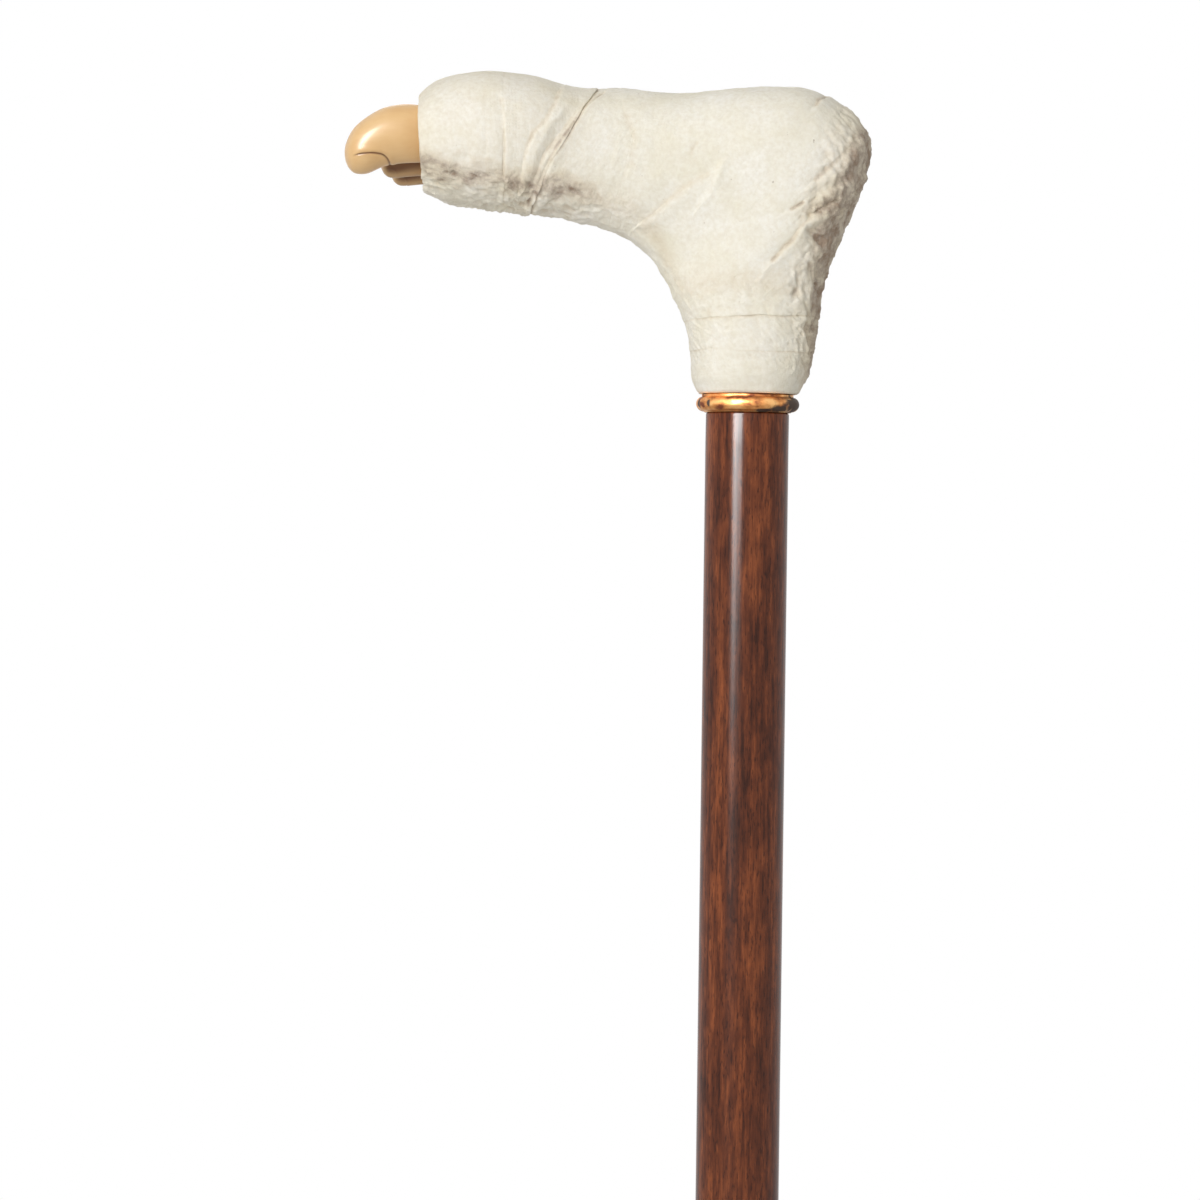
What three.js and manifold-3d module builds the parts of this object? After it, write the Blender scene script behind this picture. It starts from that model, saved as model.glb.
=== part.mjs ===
// A walking stick whose handle is carved as an upturned foot, with its toes showing, wound in plaster
// bandage. Millimetres. +Z runs up the shaft from the centre of the tip's underside. The toes point to -X,
// the heel to +X, and the big toe is on the -Y side. The sole of the foot is on top, where the hand rests.
import * as THREE from 'three';
import { mergeVertices } from 'three/addons/utils/BufferGeometryUtils.js';
import Module from 'manifold-3d';

const wasm = await Module();
wasm.setup();

// Driving dimensions
const SHOULDER_Z = 830; // the shaft's shoulder, on which the collar sits
const SHAFT_RADIUS = 10.4; // over the parallel upper part
const SHAFT_FOOT_RADIUS = 9.1; // just above the ferrule
const TAPER_START_Z = 620; // below this the shaft tapers
const SPIGOT_RADIUS = 7.5; // the turned end that centres the collar
const COLLAR_HEIGHT = 4.6;
const COLLAR_RADIUS = 11.5;
const BEAD_RADIUS = 12.85; // over the collar's bead
const BEAD_HEIGHT = 3.8;
const STUD_RADIUS = 4;
const STUD_BELOW = 36; // how far the steel stud goes down into the shaft
const STUD_ABOVE = 40; // and up into the carved ankle
const TIP_RADIUS = 13.4;
const TIP_HEIGHT = 33;
const TIP_FLOOR = 8; // rubber under the steel washer
const WASHER_THICKNESS = 1.2;
const FERRULE_RADIUS = 9.1;
const FERRULE_LENGTH = 40;
const FERRULE_WALL = 0.8;
const PIN_RADIUS = 0.9;
const SLIP = 0.3; // gap between pieces that touch or are glued
const ROUND = 30; // facets round a turned piece
const CAST_ROUND = 24; // and round the carved foot and the lining

// The cast's layers, as depths under its nominal surface
const LAP_TOP = 0.5; // how far a turn's edge stands proud over the turn before it
const LAP_UNDERSIDE = -0.2;
const TUCKED_TOP = -0.82; // the part of a turn that lies under the next one
const TURN_UNDERSIDE = -1.3;
const LINING_TOP = -1.9; // the first layer, wound straight onto the wood
const LINING_UNDERSIDE = -3;
const WOOD_DEPTH = -3.3;
const RIM_SHARE = 0.6; // the wall thins to this share of its depth at the toe opening
const LAP_WIDTH = 3.2; // how far each turn covers the one before it
const TURN_GAP = 0.45; // between turns where they don't lap

// The cast's nominal surface is a loft through these stations, from the toe opening to the collar. Each
// gives the point on the sole or heel and the point on the instep, as x and height above the shoulder,
// then half the width, how far the middle is shifted towards the little toe, and how much fuller the
// sole's side is than the instep's.
const STATIONS = [
  [-83.4, 78.0, -82.0, 54.6, 20.2, 1.2, 0.0],
  [-78.1, 82.2, -76.7, 52.2, 21.5, 1.2, 0.0],
  [-68.0, 84.5, -67.7, 50.7, 22.2, 1.0, 0.02],
  [-56.2, 83.9, -56.9, 49.2, 21.4, 1.2, 0.04],
  [-44.1, 81.0, -46.4, 48.1, 19.2, 1.6, 0.06],
  [-31.0, 80.6, -36.8, 45.8, 17.6, 1.6, 0.08],
  [-15.5, 79.9, -30.0, 42.9, 17.0, 1.0, 0.12],
  [2.0, 81.7, -26.1, 39.8, 17.4, 0.4, 0.18],
  [17.9, 79.9, -23.5, 37.0, 18.0, 0.0, 0.24],
  [29.0, 70.1, -22.0, 34.2, 18.2, 0.0, 0.26],
  [27.8, 57.1, -20.3, 31.6, 17.7, 0.0, 0.22],
  [22.6, 44.7, -19.0, 28.4, 16.7, 0.0, 0.14],
  [18.2, 33.0, -17.1, 24.9, 15.6, 0.0, 0.06],
  [17.0, 21.9, -15.3, 19.9, 14.9, 0.0, 0.02],
  [15.6, 14.1, -14.3, 13.5, 14.5, 0.0, 0.0],
  [14.6, 9.1, -14.0, 8.5, 14.1, 0.0, 0.0],
  [12.5, 5.0, -12.5, 5.0, 12.6, 0.0, 0.0],
];
const LAST = STATIONS.length - 1;
const SQUARENESS = 2.3; // 2 is an ellipse, and more is boxier

// Where each seam of the winding runs: the station at the sole or heel, and the station at the instep,
// from the collar to the toe opening.
const SEAMS = [
  [16.0, 16.0],
  [13.86, 13.7],
  [12.8, 12.5],
  [10.4, 11.6],
  [8.4, 9.4],
  [6.8, 6.6],
  [5.3, 5.2],
  [4.47, 3.14],
  [2.52, 2.57],
  [0.0, 0.0],
];
const TURNS = SEAMS.length - 1;
const START_TURN = -0.4; // the winding starts under its own first turn
const END_TURN = TURNS - 0.08;
const ROLL_ENDS = [2.7, 5.7]; // three rolls of bandage, each laid on from where the one before it ended
const BUTT_GAP = 0.005;
const STEPS_PER_TURN = 30;

// Materials
function paint(color, roughness, metalness = 0) {
  return new THREE.MeshStandardMaterial({ color, roughness, metalness });
}
const plaster = paint(0xeeeade, 0.95);
const boxwood = paint(0xe0b478, 0.35);
const stainedWood = paint(0x6f3f2a, 0.35);
const gilt = paint(0xc08a45, 0.25, 1);
const brass = paint(0xb9975a, 0.35, 1);
const steel = paint(0x9a9da1, 0.35, 1);
const rubber = paint(0x232324, 0.85);

const stick = new THREE.Group();
function add(name, geometry, material) {
  const mesh = new THREE.Mesh(geometry, material);
  mesh.name = name;
  stick.add(mesh);
  return mesh;
}

const clamp = THREE.MathUtils.clamp;
const mix = THREE.MathUtils.lerp;
const smooth = THREE.MathUtils.smoothstep;

// Turned pieces

// A closed profile of [radius, height] points, turned about the shaft's axis.
function turned(profile, facets = ROUND) {
  const points = profile.map(([r, z]) => new THREE.Vector2(r, z));
  return new THREE.LatheGeometry(points, facets).rotateX(Math.PI / 2);
}

// Points of an arc in a profile, from one angle to another, in degrees.
function arc(radius, height, size, from, to, steps) {
  return Array.from({ length: steps + 1 }, (_, i) => {
    const angle = THREE.MathUtils.degToRad(mix(from, to, i / steps));
    return [radius + size * Math.cos(angle), height + size * Math.sin(angle)];
  });
}

// Solids and booleans

function solidOf(geometry) {
  const bare = geometry.clone();
  bare.deleteAttribute('normal');
  bare.deleteAttribute('uv');
  const merged = mergeVertices(bare, 1e-4);
  return new wasm.Manifold(new wasm.Mesh({
    numProp: 3,
    vertProperties: merged.attributes.position.array,
    triVerts: new Uint32Array(merged.index.array),
  }));
}

function geometryOf(solid) {
  const mesh = solid.getMesh();
  return new THREE.BufferGeometry()
    .setAttribute('position', new THREE.BufferAttribute(new Float32Array(mesh.vertProperties), 3))
    .setIndex(new THREE.BufferAttribute(new Uint32Array(mesh.triVerts), 1));
}

// A closed surface from rows of points, each row closing on itself. The last row joins the first one, or
// else both are capped: with "fan", to their middle points, and with "zip", across a thin band whose first
// half is one long side.
function skin(rows, cap = null, half = 0) {
  const wide = rows[0].length;
  const points = rows.flat();
  const faces = [];
  for (let i = 0; i < (cap ? rows.length - 1 : rows.length); i++) {
    const here = i * wide;
    const next = ((i + 1) % rows.length) * wide;
    for (let j = 0; j < wide; j++) {
      const k = (j + 1) % wide;
      faces.push(here + j, here + k, next + k, here + j, next + k, next + j);
    }
  }
  const ends = [[rows[0], 0, true], [rows[rows.length - 1], (rows.length - 1) * wide, false]];
  for (const [row, start, flip] of cap ? ends : []) {
    let triangles;
    if (cap === 'zip') {
      triangles = zipAcross(row, half).map((corners) => corners.map((corner) => start + corner));
    } else {
      const centre = row.reduce((sum, p) => sum.add(p), new THREE.Vector3()).divideScalar(wide);
      const middle = points.push(centre) - 1;
      triangles = row.map((_, j) => [middle, start + j, start + (j + 1) % wide]);
    }
    for (const [a, b, c] of triangles) faces.push(...(flip ? [a, c, b] : [a, b, c]));
  }
  return facingOut(new THREE.BufferGeometry().setFromPoints(points).setIndex(faces));
}

// Triangles across a thin closed outline, which runs out along one long side and back along the other.
function zipAcross(row, half) {
  const triangles = [];
  let a = 0;
  let b = row.length - 1;
  while (a < half - 1 || b > half) {
    const shorter = a < half - 1 && row[a + 1].distanceTo(row[b]) <= row[a].distanceTo(row[b - 1]);
    const forward = b === half || shorter;
    triangles.push(forward ? [a, a + 1, b] : [a, b - 1, b]);
    if (forward) a += 1;
    else b -= 1;
  }
  return triangles;
}

// Turns every face round if the surface encloses a negative volume.
function facingOut(geometry) {
  const p = geometry.attributes.position;
  const index = geometry.index.array;
  const [a, b, c] = [new THREE.Vector3(), new THREE.Vector3(), new THREE.Vector3()];
  let volume = 0;
  for (let i = 0; i < index.length; i += 3) {
    a.fromBufferAttribute(p, index[i]);
    b.fromBufferAttribute(p, index[i + 1]);
    c.fromBufferAttribute(p, index[i + 2]);
    volume += a.dot(b.cross(c));
  }
  if (volume < 0) {
    for (let i = 0; i < index.length; i += 3) {
      [index[i + 1], index[i + 2]] = [index[i + 2], index[i + 1]];
    }
  }
  return geometry;
}

// The cast's nominal surface

const lineThrough = (points) => new THREE.CatmullRomCurve3(points, false, 'catmullrom', 0.5);
const soleLine = lineThrough(STATIONS.map(([x, z]) => new THREE.Vector3(x, 0, z + SHOULDER_Z)));
const instepLine = lineThrough(STATIONS.map(([, , x, z]) => new THREE.Vector3(x, 0, z + SHOULDER_Z)));
const girthLine = lineThrough(STATIONS.map((row) => new THREE.Vector3(...row.slice(4))));

// A point of the nominal surface. The angle runs from 0 at the sole, past the big toe's side, to half a
// turn at the instep.
function nominal(station, angle) {
  const t = clamp(station / LAST, 0, 1);
  const sole = soleLine.getPoint(t);
  const instep = instepLine.getPoint(t);
  const girth = girthLine.getPoint(t);
  const [cosine, sine] = [Math.cos(angle), Math.sin(angle)];
  const reach = (Math.abs(cosine) ** SQUARENESS + Math.abs(sine) ** SQUARENESS) ** (-1 / SQUARENESS);
  const up = reach * cosine;
  const across = reach * sine * girth.x * (1 + girth.z * up);
  const point = instep.lerp(sole, (1 + up) / 2);
  point.y = girth.y - across;
  return point;
}

const DELTA = 0.01;
function along(station, angle) {
  const [from, to] = [Math.max(station - DELTA, 0), Math.min(station + DELTA, LAST)];
  return nominal(to, angle).sub(nominal(from, angle)).divideScalar(to - from);
}

// A point that stands proud of the nominal surface by lift, or lies under it where lift is negative.
function castPoint(station, angle, lift) {
  const round = nominal(station, angle + DELTA).sub(nominal(station, angle - DELTA));
  const outward = round.cross(along(station, angle)).normalize();
  const share = lift < 0 ? mix(RIM_SHARE, 1, smooth(station, 0, 1.2)) : 1;
  return nominal(station, angle).addScaledVector(outward, lift * share);
}

// The winding. It is counted in turns from the collar: the first half of each turn runs over the big toe's
// side along one seam, and the second half crosses the far side to the next seam.

function seamAt(turn, angle) {
  const [sole, instep] = SEAMS[turn];
  return (sole + instep) / 2 + (sole - instep) / 2 * Math.cos(angle);
}

function edgeAt(turn) {
  if (turn <= 0) return SEAMS[0][0];
  if (turn >= TURNS) return 0;
  const whole = Math.floor(turn);
  const part = turn - whole;
  const angle = part * 2 * Math.PI;
  return mix(seamAt(whole, angle), seamAt(whole + 1, angle), smooth(part, 0.5, 1));
}

// How many millimetres a turn shows between its own edge and the next one's.
function shownWidth(turn) {
  const angle = turn * 2 * Math.PI;
  return nominal(edgeAt(turn), angle).distanceTo(nominal(edgeAt(turn + 1), angle));
}

// How a turn meets the one before it. First its edge lifts clear, by rise from 0 to 1, and then it reaches
// over by so many millimetres. Where the winding starts and ends it doesn't lap, and reach is minus the
// gap.
function lapAt(turn) {
  if (turn >= TURNS) return { rise: 0, reach: 0 };
  const lap = smooth(turn, 0.56, 0.76) * Math.min(LAP_WIDTH + TURN_GAP + 1, 0.5 * shownWidth(turn));
  return { rise: Math.min(lap, 1), reach: Math.max(lap - 1, 0) - TURN_GAP };
}

// The bandage's section at a place in the winding, as [station, lift] points: over the top from its tucked
// edge to its free edge, and back underneath.
function turnSection(turn, topRows, underRows) {
  const angle = turn * 2 * Math.PI;
  const [free, tucked] = [edgeAt(turn), edgeAt(turn + 1)];
  const perFree = 1 / along(free, angle).length();
  const perTucked = 1 / along(tucked, angle).length();
  const shown = shownWidth(turn);
  const [over, under] = [lapAt(turn), lapAt(turn + 1)];
  const groove = mix(-0.15, TUCKED_TOP, under.rise);
  const crown = mix(0, LAP_TOP, over.rise);
  const bevel = Math.min(0.6, 0.1 * shown);
  const start = Math.max(tucked - under.reach * perTucked, 0);
  const foot = 0.2 + Math.max(0, -under.reach);
  const slope = tucked + (foot + Math.min(1, 0.15 * shown)) * perTucked;
  const crest = free - bevel * perFree;
  const top = [[start, groove], [tucked + foot * perTucked, groove]];
  for (let i = 0; i <= topRows; i++) {
    top.push([mix(slope, crest, i / topRows), mix(0, crown, i / topRows)]);
  }
  top.push([free, crown - bevel / 2]);
  const lip = Math.max(over.reach, 0);
  const lipUnder = mix(TURN_UNDERSIDE, LAP_UNDERSIDE, over.rise);
  const down = free - (lip + Math.min(0.8, 0.4 * shown)) * perFree;
  const back = [[free, lipUnder], [free - (lip + Math.min(0.25, 0.15 * shown)) * perFree, lipUnder]];
  for (let i = 0; i <= underRows; i++) back.push([mix(down, start, i / underRows), TURN_UNDERSIDE]);
  return [...top, ...back];
}

// One strip of bandage, wound from one place in the winding to another as one unbroken band.
function bandageStrip(from, to, topRows, underRows) {
  const places = [from];
  for (let i = Math.floor(from * STEPS_PER_TURN) + 1; i < to * STEPS_PER_TURN - 0.01; i++) {
    places.push(i / STEPS_PER_TURN);
  }
  places.push(to);
  const rows = places.map((turn) => turnSection(turn, topRows, underRows)
    .map(([station, lift]) => castPoint(station, turn * 2 * Math.PI, lift)));
  return skin(rows, 'zip', topRows + 4);
}

// The least gap between a turn and the next one, measured on points along their sections.
function leastGap() {
  const outline = (turn) => {
    const section = turnSection(turn, 4, 4);
    return section.flatMap(([station, lift], i) => {
      const [next, nextLift] = section[(i + 1) % section.length];
      return [0, 0.2, 0.4, 0.6, 0.8].map((share) =>
        castPoint(mix(station, next, share), turn * 2 * Math.PI, mix(lift, nextLift, share)));
    });
  };
  let least = Infinity;
  for (let turn = START_TURN; turn < TURNS - 1; turn += 0.07) {
    const above = outline(turn + 1);
    for (const point of outline(turn)) {
      least = above.reduce((gap, other) => Math.min(gap, other.distanceTo(point)), least);
    }
  }
  return least;
}

// Rings round the cast at one depth, from one station to another.
function castRing(station, lift) {
  const step = 2 * Math.PI / CAST_ROUND;
  return Array.from({ length: CAST_ROUND }, (_, i) => castPoint(station, i * step, lift));
}

const INNER_STATIONS = [0.3, ...Array.from({ length: LAST - 1 }, (_, i) => i + 1), LAST - 0.25];

// The first layer of bandage, a tube between the wood and the winding.
function lining() {
  const outer = INNER_STATIONS.map((station) => castRing(station, LINING_TOP));
  const inner = INNER_STATIONS.map((station) => castRing(station, LINING_UNDERSIDE)).reverse();
  return skin([...outer, ...inner]);
}

// The carved foot

// A toe, or another rounded form along X, from its base to its tip. Each row gives x, the top and the
// bottom as heights above the shoulder, and half the width. The last row is the tip.
function toe(rows, middleY, across) {
  const rings = rows.map(([x, top, bottom, half]) => Array.from({ length: across }, (_, i) => {
    const angle = i / across * 2 * Math.PI;
    const z = SHOULDER_Z + mix(bottom, top, (1 + Math.cos(angle)) / 2);
    return new THREE.Vector3(x, middleY - half * Math.sin(angle), z);
  }));
  return skin(rings, 'fan');
}

// Sections of a smaller toe: how far back from its tip, and its thickness and width there as shares of the
// thickest.
const SMALL_TOE_SHAPE = [
  [14, 0.8, 0.7], [8, 0.9, 0.84], [4.6, 0.97, 0.95], [2.4, 0.9, 0.9], [1, 0.66, 0.7], [0.2, 0.3, 0.34],
];

// A smaller toe, worked out from its middle, thickness and length. It swells at its pad and droops to its
// tip.
function smallToe({ tipX, middleY, middle, thick }) {
  return toe(SMALL_TOE_SHAPE.map(([back, share, width]) => {
    const droop = Math.max(0, 5 - back) * 0.12;
    const half = thick / 2 * share;
    return [tipX + back, middle + half - droop, middle - half - droop, thick / 2 * width];
  }), middleY, 12);
}

// The nail: a thin lens sunk into the toe's front, which faces down because the foot is upside down.
function nail(x, y, z, long, wide, deep, tilt) {
  const lens = new THREE.SphereGeometry(1, 12, 8).scale(long, wide, deep);
  return lens.rotateY(tilt).translate(x, y, SHOULDER_Z + z);
}

const BIG_TOE = [
  [-76.0, 73.4, 61.4, 5.2],
  [-82.4, 75.0, 60.8, 5.8],
  [-87.0, 75.2, 60.5, 6.9],
  [-91.4, 74.3, 59.6, 7.4],
  [-95.4, 72.1, 57.9, 7.5],
  [-98.2, 69.8, 57.8, 6.8],
  [-99.8, 67.6, 58.8, 5.2],
  [-100.8, 65.2, 60.6, 3.0],
  [-101.1, 63.8, 62.0, 1.2],
];
const BIG_TOE_Y = -10.2;
const SMALL_TOES = [
  { tipX: -92.6, middleY: 0.2, middle: 61.9, thick: 8.6 },
  { tipX: -90.2, middleY: 6.8, middle: 60.1, thick: 8.0 },
  { tipX: -87.8, middleY: 12.3, middle: 61.2, thick: 7.2 },
  { tipX: -85.9, middleY: 15.8, middle: 63.6, thick: 6.2 },
];

function carvedFoot() {
  const rings = INNER_STATIONS.map((station) => castRing(station, WOOD_DEPTH));
  const seatZ = SHOULDER_Z + COLLAR_HEIGHT + SLIP;
  const lowest = rings[rings.length - 1];
  const seatRadius = COLLAR_RADIUS - 1.4;
  rings.push(lowest.map((p) => new THREE.Vector3(p.x, p.y, 0).clampLength(0, seatRadius).setZ(seatZ)));
  let foot = solidOf(skin(rings, 'fan'));
  foot = foot.add(solidOf(toe(BIG_TOE, BIG_TOE_Y, 20)));
  foot = foot.add(solidOf(nail(-95.6, BIG_TOE_Y, 60.0, 4.4, 5.0, 2.5, -0.18)));
  for (const one of SMALL_TOES) {
    const nailZ = one.middle - one.thick * 0.3;
    foot = foot.add(solidOf(smallToe(one)));
    foot = foot.add(solidOf(nail(one.tipX + 2.3, one.middleY, nailZ, 1.8, one.thick * 0.3, 1.5, -0.35)));
  }
  const bore = turned([[0, SHOULDER_Z], [STUD_RADIUS + SLIP, SHOULDER_Z],
    [STUD_RADIUS + SLIP, SHOULDER_Z + STUD_ABOVE + SLIP], [0, SHOULDER_Z + STUD_ABOVE + SLIP + 2]], 24);
  return geometryOf(foot.subtract(solidOf(bore)));
}

// The turned pieces, from the tip up

const washerZ = TIP_FLOOR + 0.05;
const ferruleZ = washerZ + WASHER_THICKNESS + 0.05;
const ferruleTop = ferruleZ + FERRULE_LENGTH;
const plugRadius = FERRULE_RADIUS - FERRULE_WALL - 0.1; // the shaft's turned foot inside the ferrule
const pinZ = ferruleTop - 5;

function rubberTip() {
  const bore = FERRULE_RADIUS + 0.1;
  return turned([
    [0, 0], [5, 0], [5, 1.2], [7, 1.2], [7, 0], [9.2, 0], [9.2, 1.2], [11, 1.2], [11, 0],
    [TIP_RADIUS - 0.6, 0], [TIP_RADIUS, 0.8], [TIP_RADIUS - 0.1, 5],
    [11.6, 9], [11.1, TIP_HEIGHT - 5], [11.8, TIP_HEIGHT - 4],
    [11.8, TIP_HEIGHT - 0.8], [11.2, TIP_HEIGHT], [bore, TIP_HEIGHT], [bore, TIP_FLOOR], [0, TIP_FLOOR],
  ]);
}

function washer() {
  const top = washerZ + WASHER_THICKNESS;
  return turned([[0, washerZ], [8.8, washerZ], [8.8, top], [0, top]]);
}

// A short round nail's hole or shank, lying along Y through the ferrule's far side.
function pinShape(radius, inner, outer) {
  const shank = new THREE.CylinderGeometry(radius, radius, outer - inner, 12);
  return shank.translate(0, (inner + outer) / 2, pinZ);
}

function ferrule() {
  const inside = FERRULE_RADIUS - FERRULE_WALL;
  const cup = turned([
    [0, ferruleZ], [FERRULE_RADIUS - 0.9, ferruleZ], [FERRULE_RADIUS, ferruleZ + 0.9],
    ...arc(FERRULE_RADIUS, ferruleTop - 3.1, 0.5, -90, 90, 4),
    [FERRULE_RADIUS, ferruleTop], [inside, ferruleTop], [inside, ferruleZ + 1], [0, ferruleZ + 1],
  ]);
  return geometryOf(solidOf(cup).subtract(solidOf(pinShape(PIN_RADIUS + 0.1, 4, 12))));
}

function ferrulePin() {
  const dome = new THREE.SphereGeometry(1, 12, 8).scale(1.5, 0.8, 1.5);
  const head = dome.translate(0, FERRULE_RADIUS + 0.35, pinZ);
  const clear = new THREE.BoxGeometry(4, 2, 4).translate(0, FERRULE_RADIUS - 0.9, pinZ);
  const cap = solidOf(head).subtract(solidOf(clear));
  return geometryOf(cap.add(solidOf(pinShape(PIN_RADIUS, 4.5, FERRULE_RADIUS + 0.4))));
}

function shaft() {
  const boreRadius = STUD_RADIUS + SLIP;
  const boreFloor = SHOULDER_Z - STUD_BELOW - SLIP;
  const spigotTop = SHOULDER_Z + COLLAR_HEIGHT - 0.2;
  const body = turned([
    [0, ferruleZ + 1.1], [plugRadius - 0.8, ferruleZ + 1.1], [plugRadius, ferruleZ + 1.9],
    [plugRadius, ferruleTop + 0.1],
    [SHAFT_FOOT_RADIUS, ferruleTop + 0.1], [SHAFT_FOOT_RADIUS + 0.5, mix(ferruleTop, TAPER_START_Z, 0.35)],
    [SHAFT_RADIUS - 0.25, mix(ferruleTop, TAPER_START_Z, 0.75)], [SHAFT_RADIUS, TAPER_START_Z],
    [SHAFT_RADIUS, SHOULDER_Z - 0.4], [SHAFT_RADIUS - 0.4, SHOULDER_Z], [SPIGOT_RADIUS, SHOULDER_Z],
    [SPIGOT_RADIUS, spigotTop], [boreRadius, spigotTop], [boreRadius, boreFloor], [0, boreFloor - 2],
  ]);
  return geometryOf(solidOf(body).subtract(solidOf(pinShape(PIN_RADIUS + 0.1, 4, 12))));
}

function stud() {
  const [low, high] = [SHOULDER_Z - STUD_BELOW, SHOULDER_Z + STUD_ABOVE];
  const end = STUD_RADIUS - 1;
  return turned([
    [0, low], [end, low], [STUD_RADIUS, low + 1], [STUD_RADIUS, high - 1], [end, high], [0, high],
  ], 24);
}

function collar() {
  const inside = SPIGOT_RADIUS + 0.2;
  const low = SHOULDER_Z + 0.05;
  const half = BEAD_HEIGHT / 2;
  const beadZ = low + 0.2 + half;
  const top = SHOULDER_Z + COLLAR_HEIGHT;
  return turned([
    [inside, low], [COLLAR_RADIUS - 0.6, low], ...arc(BEAD_RADIUS - half, beadZ, half, -80, 60, 8),
    [COLLAR_RADIUS, top - 0.6], [COLLAR_RADIUS, top - 0.3], [COLLAR_RADIUS - 0.3, top],
    [inside, top], [inside, low],
  ]);
}

add('rubber_tip', rubberTip(), rubber);
add('tip_washer', washer(), steel);
add('ferrule', ferrule(), brass);
add('ferrule_pin', ferrulePin(), brass);
add('shaft', shaft(), stainedWood);
add('handle_stud', stud(), steel);
add('collar', collar(), gilt);
add('carved_foot', carvedFoot(), boxwood);
add('bandage_lining', lining(), plaster);

const [FIRST_END, SECOND_END] = ROLL_ENDS;
add('ankle_bandage', bandageStrip(START_TURN, FIRST_END, 4, 5), plaster);
add('heel_bandage', bandageStrip(FIRST_END + BUTT_GAP, SECOND_END, 5, 5), plaster);
add('forefoot_bandage', bandageStrip(SECOND_END + BUTT_GAP, END_TURN, 4, 3), plaster);
console.log(`least gap between turns of bandage: ${leastGap().toFixed(2)} mm`);

export default stick;
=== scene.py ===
"""Dresses a walking stick whose handle is carved as an upturned foot, with its toes showing, wound in
plaster bandage.

Lengths are in millimetres until a mesh is made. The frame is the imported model's: +Z runs up the shaft from
the centre of the tip's underside, the toes point to -X, and the big toe is on the -Y side. Heights in the
tables are measured from the shaft's shoulder, on which the collar sits.
"""

import math

import bpy
import numpy as np
from bpy.props import FloatProperty, FloatVectorProperty, IntProperty, PointerProperty
from bpy.types import Operator, Panel, PropertyGroup
from mathutils import Matrix, Vector


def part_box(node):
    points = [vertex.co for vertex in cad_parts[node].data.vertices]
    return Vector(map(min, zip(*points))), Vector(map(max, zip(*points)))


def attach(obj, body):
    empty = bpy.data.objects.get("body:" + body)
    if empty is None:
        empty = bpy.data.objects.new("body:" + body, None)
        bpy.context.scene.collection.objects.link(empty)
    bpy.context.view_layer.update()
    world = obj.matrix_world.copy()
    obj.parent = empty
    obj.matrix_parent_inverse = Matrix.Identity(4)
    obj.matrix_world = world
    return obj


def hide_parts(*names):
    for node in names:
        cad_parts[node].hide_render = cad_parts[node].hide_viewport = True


bl_info = {
    "name": "Plaster Foot Walking Stick",
    "version": (1, 0, 0),
    "blender": (4, 5, 0),
    "location": "View3D > Sidebar > Stick",
    "description": "Makes a walking stick with a carved foot in a plaster cast for its handle",
    "category": "Object",
}

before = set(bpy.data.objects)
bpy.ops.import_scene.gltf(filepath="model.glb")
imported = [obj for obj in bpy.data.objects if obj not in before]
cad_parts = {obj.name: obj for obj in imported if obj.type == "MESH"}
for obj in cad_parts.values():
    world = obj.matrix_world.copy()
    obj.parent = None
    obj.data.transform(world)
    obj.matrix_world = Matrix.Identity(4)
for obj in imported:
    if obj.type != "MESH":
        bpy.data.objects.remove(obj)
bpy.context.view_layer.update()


def low(node):
    """The lowest corner of a node of the frame, in millimetres."""
    return 1000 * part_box(node)[0]


def high(node):
    """The highest corner of a node of the frame, in millimetres."""
    return 1000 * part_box(node)[1]


SHOULDER = low("collar").z - 0.05
SHAFT_RADIUS = high("shaft").y
BEAD_RADIUS = high("collar").y
TIP_RADIUS = high("rubber_tip").y
TIP_TOP = high("rubber_tip").z
FERRULE_TOP = high("ferrule").z

# Sizes of the turned pieces that the frame's boxes don't give
SPIGOT_RADIUS = 7.5  # the shaft's turned end, which centres the collar
SPIGOT_HEIGHT = 4.4
PLUG_RADIUS = 8.2  # the shaft's foot inside the ferrule
COLLAR_BORE = 7.7
BEAD_HALF = 1.9  # half the height of the collar's bead
FERRULE_RADIUS = 9.1
FERRULE_BORE = 8.3
PIN_RADIUS = 0.9
PIN_HEAD_RADIUS = 1.5
WASHER_RADIUS = 8.8

# The cast's nominal surface is a loft through these stations, from the toe opening to the collar. Each
# gives the point on the sole or heel and the point on the instep, as x and height, then half the width,
# how far the middle is shifted towards the little toe, and how much fuller the sole's side is than the
# instep's.
STATIONS = np.array([
    [-83.4, 78.0, -82.0, 54.6, 20.2, 1.2, 0.00],
    [-78.1, 82.2, -76.7, 52.2, 21.5, 1.2, 0.00],
    [-68.0, 84.5, -67.7, 50.7, 22.2, 1.0, 0.02],
    [-56.2, 83.9, -56.9, 49.2, 21.4, 1.2, 0.04],
    [-44.1, 81.0, -46.4, 48.1, 19.2, 1.6, 0.06],
    [-31.0, 80.6, -36.8, 45.8, 17.6, 1.6, 0.08],
    [-15.5, 79.9, -30.0, 42.9, 17.0, 1.0, 0.12],
    [2.0, 81.7, -26.1, 39.8, 17.4, 0.4, 0.18],
    [17.9, 79.9, -23.5, 37.0, 18.0, 0.0, 0.24],
    [29.0, 70.1, -22.0, 34.2, 18.2, 0.0, 0.26],
    [27.8, 57.1, -20.3, 31.6, 17.7, 0.0, 0.22],
    [22.6, 44.7, -19.0, 28.4, 16.7, 0.0, 0.14],
    [18.2, 33.0, -17.1, 24.9, 15.6, 0.0, 0.06],
    [17.0, 21.9, -15.3, 19.9, 14.9, 0.0, 0.02],
    [15.6, 14.1, -14.3, 13.5, 14.5, 0.0, 0.00],
    [14.6, 9.1, -14.0, 8.5, 14.1, 0.0, 0.00],
    [12.5, 5.0, -12.5, 5.0, 12.6, 0.0, 0.00],
])
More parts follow.
